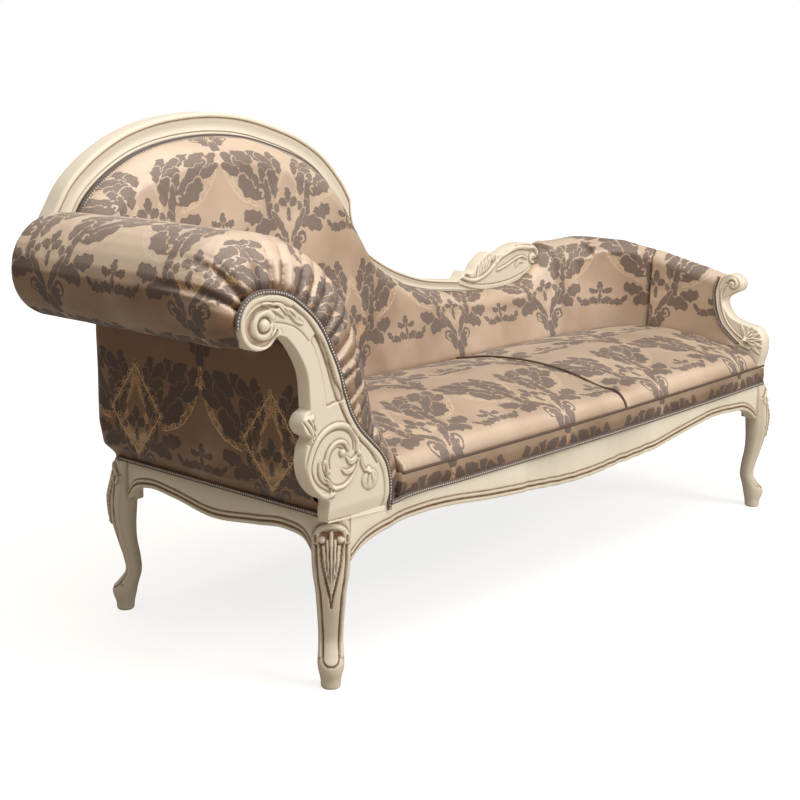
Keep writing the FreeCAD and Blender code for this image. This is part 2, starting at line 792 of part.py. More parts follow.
def head_arm_post():
    front = y_post_front
    lift = V(0, volute_proud * 2, 0)
    plate = post_plate(front, post_thickness)
    panel = upright_points(post_points(neck_panel_shares), front - overrun)
    recess = polygon_prism(panel, V(0, overrun + post_panel_depth, 0))
    plate = plate.cut(recess)
    carvings = [rim_band()]
    carvings.append(spiral_band(x_volute, z_volute, volute_radius - volute_band / 2 - seating_gap,
                                volute_eye_radius + volute_band / 2, 100, 560, volute_band,
                                front - volute_proud, lift))
    carvings.append(cylinder(volute_eye_radius, volute_proud * 2, V(x_volute, front - volute_proud, z_volute),
                             V(0, 1, 0)))
    scroll_x = x_post_right - scroll_across
    scroll_z = z_top + scroll_up
    carvings.append(spiral_band(scroll_x, scroll_z, scroll_radius, scroll_radius, -40, 340 - 50, scroll_band,
                                front - scroll_proud, V(0, scroll_proud * 2, 0)))
    carvings.append(spiral_band(scroll_x + inner_scroll_radius / 3, scroll_z + inner_scroll_radius / 4,
                                inner_scroll_radius, inner_scroll_band, 200, -420, inner_scroll_band,
                                front - scroll_proud, V(0, scroll_proud * 2, 0)))
    ball = post_points([scroll_ball_share])[0]
    ball_base = V(ball[0], front - scroll_proud, ball[1])
    carvings.append(cylinder(scroll_band, scroll_proud * 2, ball_base, V(0, 1, 0)))
    push = V(0, leaf_proud * 2, 0)
    carvings.append(closed_leaf(post_points(shoulder_leaf_shares), front - leaf_proud, push))
    carvings.append(closed_leaf(post_points(lower_leaf_shares), front - leaf_proud, push))
    tuft_low = [(across - 0.02, up) for across, up in post_tuft_shares]
    tuft = upright_points(post_points(tuft_low), front - leaf_proud)
    carvings.append(edge_prism(curve(tuft) + [line(tuft[-1], tuft[0])], push))
    return plate.fuse(carvings + shell_carving())


def arm_gimp_line():
    return post_edge() + volute_arc()[:7]


def arm_cover_line():
    roll = circle_points(x_roll, z_roll, roll_radius, 92, 262, 7)
    return post_points(arm_cover_shares) + roll


# Quarter turn of the arm's rounded front, as shares
arm_round_shares = (0.13, 0.4, 0.68, 1.0)


def arm_pad_section(y, share, first=0):
    inner = offset_line(arm_gimp_line(), arm_pad_gap)
    outer = []
    for near, far in zip(inner, arm_cover_line()):
        outer.append((near[0] + (far[0] - near[0]) * share, near[1] + (far[1] - near[1]) * share))
    inner = upright_points(inner[first:], y)
    outer = upright_points(outer[first:], y)
    return bent_points(outer) + list(reversed(bent_points(inner)))


def head_arm_pad():
    y_start = y_post_front + gimp_thickness
    y_end = y_pad_front - arm_pad_back_gap
    y_tail = y_frame_front - roll_back_gap
    rings = []
    for turn_share in arm_round_shares:
        angle = math.pi / 2 * turn_share
        y = y_start + arm_pad_front_round * (1 - math.cos(angle))
        rings.append(arm_pad_section(y, math.sin(angle)))
    rings.append(arm_pad_section(y_end, 1))
    roll_first_point = len(arm_cover_shares) - 2
    tail = [arm_pad_section(y, share, roll_first_point)
            for y, share in ((y_end, 1), (y_tail - roll_end_round, 1), (y_tail, roll_end_share))]
    return ring_solid(rings).fuse(ring_solid(tail))


def head_arm_gimp():
    inner = offset_line(arm_gimp_line(), arm_pad_gap)
    outer = offset_line(arm_gimp_line(), gimp_height)
    inner = upright_points(inner, y_post_front - gimp_thickness / 4)
    outer = upright_points(outer, y_post_front - gimp_thickness / 4)
    return band_prism(outer, inner, V(0, gimp_thickness, 0))


def rear_board():
    y = y_frame_front - seating_gap - rear_board_thickness
    return post_plate(y, rear_board_thickness).cut(head_panel_space())


def arm_rails():
    y_low = y_post_back
    y_high = y_frame_front - seating_gap - rear_board_thickness
    solids = []
    for across, up in arm_rail_shares:
        x, z = post_points([(across, up)])[0]
        low = V(x - arm_rail_width, y_low, z - arm_rail_height)
        solids.append(box_between(low, V(x, y_high, z)))
    return solids


def roll_core():
    y_high = y_frame_front - seating_gap - rear_board_thickness
    return cylinder(core_pole_radius, y_high - y_post_back, V(x_volute, y_post_back, z_volute), V(0, 1, 0))


# Outside head panel with its bulge and rounded rear corner

panel_bulge_shares = [(0.0, 0.05, 0.28), (0.035, 0.06, 0.3), (0.12, 0.7, 0.65), (0.27, 1.0, 1.0),
                      (1.0, 1.0, 1.0)]


def head_panel_space():
    points = [(x_head_face - bulge * outside_panel_bulge + outside_panel_thickness + seating_gap,
               z_top + up * outside_panel_height) for up, bulge, rounding in panel_bulge_shares]
    far = x_min - overrun
    outline = [(far, z_top - overrun), (points[0][0], z_top - overrun)] + points
    outline.append((far, z_top + outside_panel_height))
    return polygon_prism(upright_points(outline, y_min), V(0, overall_depth, 0))


def head_outside_panel():
    wires = []
    y_low = y_post_back + seating_gap
    x_rear = x_head + overrun
    y_rear = y_back_face
    for up, bulge, rounding in panel_bulge_shares:
        z = z_top + up * outside_panel_height
        x_out = x_head_face - bulge * outside_panel_bulge
        radius = rounding * outside_corner_round
        inner_radius = max(radius - outside_panel_thickness, seating_gap * 4)
        x_in = x_out + outside_panel_thickness
        y_in = y_rear - outside_panel_thickness
        turn = radius * (1 - math.sqrt(0.5))
        inner_turn = inner_radius * (1 - math.sqrt(0.5))
        start = V(x_out, y_low, z)
        bend_start = V(x_out, y_rear - radius, z)
        bend_mid = V(x_out + turn, y_rear - turn, z)
        bend_end = V(x_out + radius, y_rear, z)
        rear = V(x_rear, y_rear, z)
        rear_in = V(x_rear, y_in, z)
        in_end = V(x_in + inner_radius, y_in, z)
        in_mid = V(x_in + inner_turn, y_in - inner_turn, z)
        in_start = V(x_in, y_in - inner_radius, z)
        start_in = V(x_in, y_low, z)
        outer = [line(start, bend_start), arc(bend_start, bend_mid, bend_end), line(bend_end, rear)]
        inner = [line(rear_in, in_end), arc(in_end, in_mid, in_start), line(in_start, start_in)]
        wires.append(Part.Wire(outer + [line(rear, rear_in)] + inner + [line(start_in, start)]))
    return Part.makeLoft(wires, True, True)


def head_side_gimp():
    x = x_head_face - panel_bulge_shares[1][1] * outside_panel_bulge - seating_gap
    low = V(x - gimp_thickness, y_post_back + seating_gap, z_top)
    return box_between(low, V(x, y_back_face - outside_corner_round / 2, z_top + gimp_height))


# Show-wood back frame

def arch_line():
    points = [(x_arch_left + across * arch_width, z_arch_left + up * arch_rise) for across, up in arch_shares]
    return points


def low_line():
    z_low = z_low_start - low_sweep_height
    return [(x_low_start + across * low_sweep_width, z_low + up * low_sweep_height)
            for across, up in low_sweep_shares]


def frame_band(outer_in, inner_in, y, thickness):
    arch_outer = offset_line(arch_line(), outer_in)
    low_outer = offset_line(low_line(), outer_in)
    arch_inner = offset_line(arch_line(), inner_in)[:-2]
    low_inner = offset_line(low_line(), min(inner_in, low_band))[3:]
    z_leg = z_arch_left - arch_leg_drop
    arch_outer = upright_points(arch_outer, y)
    arch_inner = upright_points(arch_inner, y)
    low_outer = upright_points(low_outer, y)
    low_inner = upright_points(low_inner, y)
    foot_outer = V(arch_outer[0].x, y, z_leg)
    foot_inner = V(arch_inner[0].x, y, z_leg)
    edges = [line(foot_outer, arch_outer[0])] + curve(arch_outer) + [line(arch_outer[-1], low_outer[0])]
    edges += curve(low_outer) + [line(low_outer[-1], low_inner[-1])] + curve(low_inner)
    edges += [line(low_inner[0], arch_inner[-1])] + curve(arch_inner)
    edges += [line(arch_inner[0], foot_inner), line(foot_inner, foot_outer)]
    return edge_prism(edges, V(0, thickness, 0))


def moulding(points, near, far, y):
    outer = upright_points(offset_line(points, near), y)
    inner = upright_points(offset_line(points, far), y)
    return band_prism(outer, inner, V(0, moulding_proud * 2, 0))


def back_frame():
    body = frame_band(0, arch_band, y_frame_front + moulding_proud, back_frame_thickness - moulding_proud)
    arch = arch_line()
    rims = [moulding(arch, moulding_recess, moulding_rim, y_frame_front)]
    rims.append(moulding(arch[:-2], arch_band - moulding_rim - gimp_height,
                         arch_band - moulding_recess - gimp_height, y_frame_front))
    rims.append(moulding(low_line(), moulding_recess, moulding_rim, y_frame_front))
    return body.fuse(rims)


# Carved crest on the low sweep

def back_crest():
    x_low = x_frame_end - crest_end_gap - crest_width
    z_low = z_top + crest_base_height
    top = [(x_low + across * crest_width, z_low + crest_height * up) for across, up in crest_top_shares]
    volute_x = x_low + crest_width * crest_volute_across_share
    volute_z = top[-1][1] - crest_volute_radius
    end = circle_points(volute_x, volute_z, crest_volute_radius, 80, -60, 5)
    y = y_frame_front + moulding_proud
    upper = upright_points(top, y)
    end = upright_points(end, y)
    sunk = V(end[-1].x, y, z_low - low_band)
    start = V(upper[0].x, y, z_low - low_band)
    edges = curve(upper) + [line(upper[-1], end[0])] + curve(end)
    edges += [line(end[-1], sunk), line(sunk, start), line(start, upper[0])]
    body = edge_prism(edges, V(0, crest_thickness, 0))
    body = body.cut(frame_band(-seating_gap, arch_band, y - overrun, 2 * overrun))
    hole_x = x_low + crest_width * crest_hole_across_share
    hole_z = z_low + crest_height * crest_hole_up_share
    body = body.cut(cylinder(crest_hole_radius, 2 * overrun, V(hole_x, y - overrun, hole_z), V(0, 1, 0)))
    body = max(body.Solids, key=lambda piece: piece.Volume)
    lift = V(0, crest_scroll_proud * 2, 0)
    y_carve = y - crest_scroll_proud
    band = crest_volute_radius / 4
    scrolls = [spiral_band(volute_x, volute_z, crest_volute_radius - band, band, 60, -432, band,
                           y_carve, lift)]
    ring = crest_hole_radius + band
    scrolls.append(spiral_band(hole_x, hole_z, ring, ring, 220, 288, band, y_carve, lift))
    return body.fuse(scrolls)


# Hidden back structure

def back_uprights():
    solids = []
    frame = frame_band(-seating_gap, arch_band + seating_gap, y_frame_front - overrun,
                       back_frame_thickness + 2 * overrun)
    y_low = y_frame_front + moulding_proud
    for x in upright_places():
        low = V(x - upright_width / 2, y_low, z_bolt - corner_block_height / 2)
        high = V(x + upright_width / 2, y_back_inner, frame_top(x))
        solid = box_between(low, high).cut(frame)
        pieces = sorted(solid.Solids, key=lambda piece: piece.BoundBox.ZMin)
        solids.append(pieces[0])
    return solids


def frame_top(x):
    tops = arch_line() + low_line()
    nearest = min(tops, key=lambda point: abs(point[0] - x))
    return nearest[1] - low_band / 4


def low_back_rail():
    z_high = z_hump - hump_overhang_depth - seating_gap
    y_low = y_frame_front + moulding_proud
    x_high = x_arm_out - foot_outside_corner
    low = V(x_frame_end + seating_gap, y_low, z_high - low_rail_height)
    rail = box_between(low, V(x_high, y_frame_back, z_high))
    post_low = V(x_high - upright_width, y_low, z_top)
    return rail.fuse(box_between(post_low, V(x_high, y_frame_back, z_high)))


# Back upholstery

# The top of the back cover follows the inner edge of the show-wood. Its shoulder lies below and in front of
# the top by these shares of the pad's depth, and the middle of the bend by these shares of that
shoulder_depth_share = 0.62
shoulder_drop_share = 0.55
bend_depth_share = 0.66
bend_drop_share = 0.28


def pad_top_line():
    arch = offset_line(arch_line(), arch_band)[:-2]
    low = offset_line(low_line(), low_band - back_pad_cover)[3:]
    return arch + low + [(x_frame_end - seating_gap, low[-1][1])]


def back_section(x, z_high):
    z_low = z_top + back_pad_foot_gap
    shoulder_depth = back_pad_depth * shoulder_depth_share
    shoulder_drop = back_pad_depth * shoulder_drop_share
    start = V(x, y_pad_back, z_low)
    top = V(x, y_pad_back, z_high)
    shoulder = V(x, y_pad_back - shoulder_depth, z_high - shoulder_drop)
    bend = V(x, y_pad_back - shoulder_depth * bend_depth_share, z_high - shoulder_drop * bend_drop_share)
    face_low = V(x, y_pad_front, z_top + seat_back_height)
    bottom = V(x, y_pad_front + seating_gap * 4, z_low)
    return [start] + arc_points(top, bend, shoulder) + [face_low, bottom]


def pad_split():
    """Place in the top line where the pad of the arch ends and that of the low back begins."""
    line_points = pad_top_line()
    return max(index for index, point in enumerate(line_points) if point[0] < x_low_start + arch_band * 2)


def back_pad_high():
    pad = ring_solid([back_section(x, z) for x, z in pad_top_line()[:pad_split() + 1]])
    edge = upright_points(offset_line(post_edge(), arm_pad_gap), y_min)
    far_high = V(x_min - overrun, y_min, edge[-1].z)
    far_low = V(x_min - overrun, y_min, z_top)
    edges = curve(edge) + [line(edge[-1], far_high), line(far_high, far_low), line(far_low, edge[0])]
    pad = pad.cut(edge_prism(edges, V(0, overall_depth, 0)))
    roll_space = cylinder(roll_radius + roll_clearance, overall_depth, V(x_roll, y_min, z_roll), V(0, 1, 0))
    return pad.cut(roll_space)


def back_pad_low():
    return ring_solid([back_section(x, z) for x, z in pad_top_line()[pad_split():]])


def arch_gimp():
    line_points = arch_line()[:-2]
    outer = upright_points(offset_line(line_points, arch_band - gimp_height), y_frame_front + moulding_proud)
    inner = upright_points(offset_line(line_points, arch_band - seating_gap), y_frame_front + moulding_proud)
    return band_prism(outer, inner, V(0, -gimp_thickness, 0))


# Shares of a wrapped pad: how far its bends and shoulder lie in and down, of its depths and of the overhang
crown_bend_share = 0.3
crown_fall_share = 0.4
wrap_shoulder_share = 0.82
wrap_fall_share = 1.25
wrap_bend_share = 0.55
wrap_core_share = 0.25
wrap_bend_fall_share = 0.34
arm_crown_share = 0.7
back_crown_share = 0.9


def wrap_section(origin, inward, core_depth, seat_depth_here, z_high, spread):
    z_low = z_top + back_pad_foot_gap
    z_over = z_high - hump_overhang_depth
    z_seat = z_top + seat_back_height

    def place(depth, z):
        point = origin + inward * depth
        return V(point.x, point.y, z)
    start = place(core_depth, z_low)
    under = place(core_depth, z_over)
    edge_low = place(seating_gap, z_over)
    crown = place(core_depth * spread, z_high)
    crown_mid = place(core_depth * spread * crown_bend_share, z_high - hump_overhang_depth * crown_fall_share)
    shoulder = place(seat_depth_here * wrap_shoulder_share, z_high - hump_overhang_depth * wrap_fall_share)
    shoulder_mid = place(seat_depth_here * wrap_bend_share + core_depth * wrap_core_share,
                         z_high - hump_overhang_depth * wrap_bend_fall_share)
    face_low = place(seat_depth_here, z_seat)
    bottom = place(seat_depth_here, z_low)
    round_outside = arc_points(edge_low, crown_mid, crown)
    round_inside = arc_points(crown, shoulder_mid, shoulder)
    return [start, under] + round_outside + round_inside[1:] + [face_low, bottom]


y_arm_back = y_back_face - foot_corner_round - back_pad_depth
y_seam = y_front + foot_arm_seam_up


def foot_top(y):
    y_start = y_front + foot_post_depth
    share = (y - y_start) / (y_arm_back - y_start)
    previous = foot_top_shares[0]
    for point in foot_top_shares[1:]:
        if share <= point[0]:
            part = (share - previous[0]) / (point[0] - previous[0])
            return z_top + hump_height * (previous[1] + part * (point[1] - previous[1]))
        previous = point
    return z_top + hump_height * previous[1]


def foot_arm_stations():
    return [y_front + (y_seam - y_front) * share for share in (0.0, 0.5)] + [y_seam]


def foot_back_stations():
    return [y_seam, y_arm_back]


def foot_arm_section(y):
    return wrap_section(V(x_arm_out, y, 0), V(-1, 0, 0), foot_core_depth, foot_arm_inner_depth, foot_top(y),
                        arm_crown_share)


def foot_arm_pad():
    stations = foot_arm_stations()
    stations[-1] -= seating_gap
    return ring_solid([foot_arm_section(y) for y in stations]).cut(foot_front_space())


# Round the corner each section stands square to the outside, and its depth grows to that of the back

def corner_places():
    places = []
    centre_x = x_arm_out - foot_corner_round
    centre_y = y_back_face - foot_corner_round
    back_inner = y_back_face - y_pad_front
    back_core = y_back_face - y_pad_back
    for degrees in (18, 36, 54, 72):
        angle = math.radians(degrees)
        mix = degrees / 90
        outward = V(math.cos(angle), math.sin(angle), 0)
        origin = V(centre_x, centre_y, 0) + outward * foot_corner_round
        core = foot_core_depth + (back_core - foot_core_depth) * mix
        depth = foot_arm_inner_depth + (back_inner - foot_arm_inner_depth) * mix
        crown = arm_crown_share + (back_crown_share - arm_crown_share) * mix
        places.append((origin, outward * -1, core, depth, z_hump, crown))
    for x in (x_arm_out - foot_corner_round * corner_reach_share, x_frame_end + seating_gap):
        places.append((V(x, y_back_face, 0), V(0, -1, 0), back_core, back_inner, z_hump, back_crown_share))
    return places


def foot_corner_pad():
    rings = [foot_arm_section(y) for y in foot_back_stations()]
    return ring_solid(rings + [wrap_section(*place) for place in corner_places()])


def foot_pad_space():
    inner = [V(x_arm_inner, y_front + foot_post_stump_depth, 0), V(x_arm_inner, y_arm_back, 0)]
    for origin, inward, core, depth, z_high, spread in corner_places():
        inner.append(origin + inward * depth)
    shifted = offset_line([(point.x, point.y) for point in inner], -arm_pad_gap)
    outline = shifted + [(shifted[-1][0], y_max), (x_max + overrun, y_max), (x_max + overrun, shifted[0][1])]
    return polygon_prism([V(x, y, z_top) for x, y in outline], V(0, 0, hump_height))


# Carved post at the foot end, cut from a thick plank and standing at the front corner

x_foot_post_out = x_arm_out - foot_post_inset
x_foot_post_in = x_foot_post_out - foot_post_thickness
y_foot_post = y_front
z_foot_post = z_top + foot_post_base_height


def foot_post_points(shares, x):
    return [V(x, y_foot_post + across * foot_post_depth, z_foot_post + up * foot_post_height)
            for across, up in shares]


def foot_volute_centre(x):
    return V(x, y_foot_post + foot_volute_across_share * foot_post_depth,
             z_foot_post + foot_volute_up_share * foot_post_height)


def foot_arm_post():
    push = V(foot_post_thickness, 0, 0)
    rear = foot_post_points(foot_rear_shares, x_foot_post_in)
    front = foot_post_points(foot_front_shares, x_foot_post_in)
    body = band_prism(rear, front, push)
    centre = foot_volute_centre(x_foot_post_in)
    body = body.fuse(cylinder(foot_volute_radius, foot_post_thickness, centre, V(1, 0, 0)))
    stump_low = V(x_foot_post_in, y_foot_post, z_top)
    stump_high = V(x_foot_post_out, y_foot_post + foot_post_stump_depth, z_foot_post + gimp_height / 2)
    body = body.fuse(box_between(stump_low, stump_high))
    eye = cylinder(foot_volute_radius / 3, foot_post_thickness + volute_proud,
                   centre - V(volute_proud, 0, 0), V(1, 0, 0))
    ring = cylinder(foot_volute_radius, volute_proud, centre - V(leaf_proud, 0, 0), V(1, 0, 0))
    ring = ring.cut(cylinder(foot_volute_radius - foot_volute_band, volute_proud * 2,
                             centre - V(volute_proud, 0, 0), V(1, 0, 0)))
    ridge = []
    for near_share, far_share in foot_ridge_shares:
        near, far = foot_volute_band * near_share, foot_volute_band * far_share
        shape_near = edge_offset(rear, near)
        shape_far = edge_offset(rear, far)
        lift = V(-leaf_proud, 0, 0)
        outer = [point + lift for point in shape_near]
        inner = [point + lift for point in shape_far]
        ridge.append(band_prism(outer, inner, V(leaf_proud * 2, 0, 0)))
    return body.fuse([eye, ring] + ridge)


def edge_offset(points, distance):
    flat = offset_line([(point.y, point.z) for point in points], -distance)
    return [V(points[0].x, y, z) for y, z in flat]


def foot_post_space():
    low = V(x_foot_post_in - leaf_proud - seating_gap, y_foot_post - seating_gap, z_top)
    high = V(x_max + overrun, y_foot_post + foot_post_depth, z_top + 2 * foot_post_height)
    return box_between(low, high)


def foot_front_space():
    push = V(2 * overrun + foot_arm_inner_depth, 0, 0)
    rear = foot_post_points(foot_rear_shares, x_arm_inner - overrun)
    rear = edge_offset(rear, -gimp_thickness)
    top = rear[-1] + V(0, -seating_gap, foot_post_height)
    far = V(rear[0].x, y_min - overrun, top.z)
    low = V(rear[0].x, y_min - overrun, rear[0].z)
    edges = curve(rear) + [line(rear[-1], top), line(top, far), line(far, low), line(low, rear[0])]
    space = edge_prism(edges, push)
    lower = box_between(V(x_arm_inner - overrun, y_min - overrun, z_top - overrun),
                        V(x_max + overrun, y_foot_post + foot_post_stump_depth + seating_gap,
                          rear[0].z + gimp_height))
    return space.fuse(lower)


def foot_post_gimp():
    rear = foot_post_points(foot_rear_shares, x_foot_post_in - gimp_thickness / 2)
    near = edge_offset(rear, -seating_gap)[2:]
    far = edge_offset(rear, -gimp_thickness + seating_gap)[2:]
    return band_prism(near, far, V(gimp_height, 0, 0))


def foot_outside_panel():
    y_low = y_front + foot_post_stump_depth + seating_gap
    x_out = x_arm_out
    radius = foot_outside_corner
    inner_radius = radius - outside_panel_thickness
    x_in = x_out - outside_panel_thickness
    y_out = y_back_face
    y_in = y_out - outside_panel_thickness
    x_rear = x_arm_out - foot_corner_round * corner_reach_share
    turn = radius * (1 - math.sqrt(0.5))
    inner_turn = inner_radius * (1 - math.sqrt(0.5))
    z = z_top
    points = [V(x_out, y_low, z), V(x_out, y_out - radius, z), V(x_out - turn, y_out - turn, z),
              V(x_out - radius, y_out, z), V(x_rear, y_out, z), V(x_rear, y_in, z),
              V(x_in - inner_radius, y_in, z), V(x_in - inner_turn, y_in - inner_turn, z),
              V(x_in, y_in - inner_radius, z), V(x_in, y_low, z)]
    edges = [line(points[0], points[1]), arc(points[1], points[2], points[3]), line(points[3], points[4]),
             line(points[4], points[5]), line(points[5], points[6]), arc(points[6], points[7], points[8]),
             line(points[8], points[9]), line(points[9], points[0])]
    wall = edge_prism(edges, V(0, 0, z_hump - hump_overhang_depth - seating_gap - z))
    stations = foot_arm_stations() + foot_back_stations()[1:]
    slope = [V(x_max - 2 * overrun, y, foot_top(y) - hump_overhang_depth - seating_gap) for y in stations]
    x_near = x_max - 2 * overrun
    over = [V(x_near, y_arm_back, z_hump + overrun), V(x_near, y_front, z_hump + overrun)]
    wedge = polygon_prism(slope + over, V(4 * overrun, 0, 0))
    return wall.cut(wedge).cut(foot_front_space())


def foot_arm_rail():
    y_low = y_front + foot_post_depth
    z_high = foot_top(y_low) - hump_overhang_depth - seating_gap
    low = V(x_arm_out - foot_core_depth + seating_gap, y_low, z_high - low_rail_height)
    high = V(x_arm_out - outside_panel_thickness - seating_gap, y_arm_back, z_high)
    return box_between(low, high)


def outside_back():
    y = y_frame_back + seating_gap
    thickness = y_back_face - y
    x_low = x_head + overrun + seating_gap
    x_high = x_arm_out - foot_corner_round * corner_reach_share - seating_gap
    z_panel_top = z_top + outside_panel_height + seating_gap
    arch = offset_line(arch_line(), moulding_rim)
    low = offset_line(low_line(), moulding_rim)
    arch_edge = upright_points(arch, y)
    low_edge = upright_points(low[1:], y)
    bottom_left = V(x_low, y, z_top)
    notch = V(x_low, y, z_panel_top)
    left = V(arch_edge[0].x, y, z_panel_top)
    z_high = z_hump - hump_overhang_depth - seating_gap
    step = V(low_edge[-1].x, y, z_high)
    right = V(x_high, y, z_high)
    bottom_right = V(x_high, y, z_top)
    edges = [line(bottom_left, notch), line(notch, left), line(left, arch_edge[0])] + curve(arch_edge)
    edges += [line(arch_edge[-1], low_edge[0])] + curve(low_edge)
    edges += [line(low_edge[-1], step), line(step, right), line(right, bottom_right),
              line(bottom_right, bottom_left)]
    return edge_prism(edges, V(0, thickness, 0))


def back_gimp():
    low = V(x_rail_start, y_back_face, z_top)
    return box_between(low, V(x_rail_end, y_back_face + gimp_thickness / 2, z_top + gimp_height))


def save(name, shape):
    solids = shape if isinstance(shape, list) else [shape]
    shape = Part.makeCompound(solids) if len(solids) > 1 else solids[0]
    shape.exportStep("parts/" + name + ".step")
    box = shape.BoundBox
    print(name, len(shape.Solids), shape.isValid(), round(box.XMin), round(box.XMax), round(box.YMin),
          round(box.YMax), round(box.ZMin), round(box.ZMax))


def main():
    os.makedirs("parts", exist_ok=True)
    corners = {"head_front": (x_head, y_front, -1, -1), "foot_front": (x_foot, y_front, 1, -1),
               "head_back": (x_head, y_back, -1, 1), "foot_back": (x_foot, y_back, 1, 1)}
    for name, place in corners.items():
        save("leg_" + name, leg(*place))
    save("corner_blocks", [corner_block(*place) for place in corners.values()])
    save("leg_bolts", [leg_bolt(*place) for place in corners.values()])
    save("front_rail", long_rail_front())
    save("back_rail", long_rail_back())
    save("head_rail", side_rail(x_head_face, x_head_inner, -1))
    save("foot_rail", side_rail(x_foot_face, x_foot_inner, 1))
    save("seat_slats", slats())
    save("seat_webbing_cross", cross_straps())
    save("seat_webbing_long", long_straps())
    save("dust_cover", dust_cover())
    save("seat_foam", seat_foam())
    save("seat_pad_head", seat_pad_head())
    save("seat_pad_foot", seat_pad_foot())
    save("seat_seam_welt", seat_welt())
    save("seat_border", seat_border())
    save("seat_piping", seat_piping())
    save("front_gimp", front_gimp())
    save("head_arm_post", head_arm_post())
    save("head_arm_rear_board", rear_board())
    save("head_arm_rails", arm_rails())
    save("head_roll_core", roll_core())
    save("head_arm_pad", head_arm_pad())
    save("head_arm_gimp", head_arm_gimp())
    save("head_outside_panel", head_outside_panel())
    save("head_side_gimp", head_side_gimp())
    save("back_frame", back_frame())
    save("arch_gimp", arch_gimp())
    save("back_crest", back_crest())
    save("back_uprights", back_uprights())
    save("low_back_rail", low_back_rail())
    save("back_pad_high", back_pad_high())
    save("back_pad_low", back_pad_low())
    save("foot_corner_pad", foot_corner_pad())
    save("foot_arm_pad", foot_arm_pad())
    save("foot_arm_post", foot_arm_post())
    save("foot_post_gimp", foot_post_gimp())
    save("foot_arm_rail", foot_arm_rail())
    save("foot_outside_panel", foot_outside_panel())
    save("outside_back", outside_back())
    save("back_gimp", back_gimp())


main()
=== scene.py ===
import math

import bmesh
import bpy
import numpy as np
from mathutils import Matrix, Vector, geometry, noise


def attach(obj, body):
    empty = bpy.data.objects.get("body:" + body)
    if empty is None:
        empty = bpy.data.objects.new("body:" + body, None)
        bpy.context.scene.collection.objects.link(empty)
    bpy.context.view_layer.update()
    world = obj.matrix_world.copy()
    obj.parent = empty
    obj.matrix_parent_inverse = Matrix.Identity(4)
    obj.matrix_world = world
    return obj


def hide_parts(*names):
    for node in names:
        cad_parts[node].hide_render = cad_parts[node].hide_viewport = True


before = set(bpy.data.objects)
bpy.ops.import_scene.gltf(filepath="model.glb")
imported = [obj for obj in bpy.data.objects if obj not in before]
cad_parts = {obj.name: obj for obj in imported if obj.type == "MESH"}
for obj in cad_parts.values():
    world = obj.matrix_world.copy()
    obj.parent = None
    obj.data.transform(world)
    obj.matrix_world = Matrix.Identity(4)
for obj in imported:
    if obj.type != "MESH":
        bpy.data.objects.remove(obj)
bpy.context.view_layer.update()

bl_info = {
    "name": "Scrolled Chaise Longue",
    "version": (1, 0, 0),
    "blender": (4, 0, 0),
    "location": "View3D > Sidebar > Chaise",
    "description": "Builds the looks of an upholstered chaise longue round its structural model",
    "category": "Object",
}

MM = 0.001

# Places on the structural model, in millimetres: the top of the seat frame, the corners that the legs stand round,
# the right edge of the head arm's post and the middle height of the braids that lie on the rails
Z_TOP = 346.0
X_HEAD, X_FOOT = -703.0, 980.0
Y_FRONT, Y_BACK = -316.0, 316.0
X_POST_RIGHT = -572.0
Z_RAIL_BRAID = 351.0

EDGE_ROUND = 3.0  # radius along the edges of the carved boards
BLOCK_OUT, BLOCK_WIDE = 11.0, 44.0  # how far a leg's block stands out past its corner, and its width
LEG_PAINTED_SHADE = 0.12  # painted shade: the glaze colour laid over the whole of a leg, so that it looks as dark as in shade

# The upright round that the back's cloth follows into the foot end: its middle and its radius
BEND_X, BEND_Y, BEND_RADIUS = 828.0, 68.0, 112.0
# How far the seat's front corner at the head is brought towards the post, at the piping and at the rail
CORNER_TOP, CORNER_BASE = 28.0, 42.0
# Where the woven pattern starts: along and across the seat, along and up the back, along the end, along the
# sides, and up the sides and the rear
SEAT_START_X, SEAT_START_Y = -358.0, -230.0
BACK_START_X, BACK_START_Z = -690.0, 890.0
END_START_Y = 1799.0
SIDE_START, SIDE_START_Z, REAR_START_Z = -939.0, 470.0, 700.0
COVER_VOXEL = 5.0  # fineness of the stuffed pieces


# Lines and distances, all in millimetres

def smooth_line(points, step, closed=False):
    """A smooth line through the points, with a new point at each step along it."""
    p = np.array(points, float)
    if closed:
        p = np.vstack([p[-2:], p, p[:3]])
    gap = np.maximum(np.linalg.norm(np.diff(p, axis=0), axis=1), 1e-6)
    slope = np.diff(p, axis=0) / gap[:, None]
    tangent = np.empty_like(p)
    tangent[0] = slope[0]
    tangent[-1] = slope[-1]
    share = (gap[:-1] / (gap[:-1] + gap[1:]))[:, None]
    tangent[1:-1] = slope[:-1] * (1 - share) + slope[1:] * share
    first, last = (2, len(p) - 3) if closed else (0, len(p) - 1)
    t = np.linspace(0, 1, 12, endpoint=False)[:, None]
    parts = []
    for i in range(first, last):
        parts.append((2 * t ** 3 - 3 * t ** 2 + 1) * p[i] + (t ** 3 - 2 * t ** 2 + t) * gap[i] * tangent[i]
                     + (3 * t ** 2 - 2 * t ** 3) * p[i + 1] + (t ** 3 - t ** 2) * gap[i] * tangent[i + 1])
    parts.append(p[last:last + 1])
    return even_line(np.vstack(parts), step=step)


def even_line(points, step=None, count=None):
    """The same line with evenly spaced points."""
    p = np.array(points, float)
    run = run_along(p)
    number = count or max(2, int(round(run[-1] / step)) + 1)
    places = np.linspace(0, run[-1], number)
    return np.stack([np.interp(places, run, p[:, k]) for k in range(p.shape[1])], 1)


def directions(path):
    """The way that a path runs at each of its points."""
    along = np.gradient(path, axis=0)
    return along / np.linalg.norm(along, axis=1)[:, None]


def run_along(path):
    """How far along the path each point lies."""
    return np.concatenate([[0], np.cumsum(np.linalg.norm(np.diff(path, axis=0), axis=1))])


def length_of(points):
    return float(np.linalg.norm(np.diff(points, axis=0), axis=1).sum())


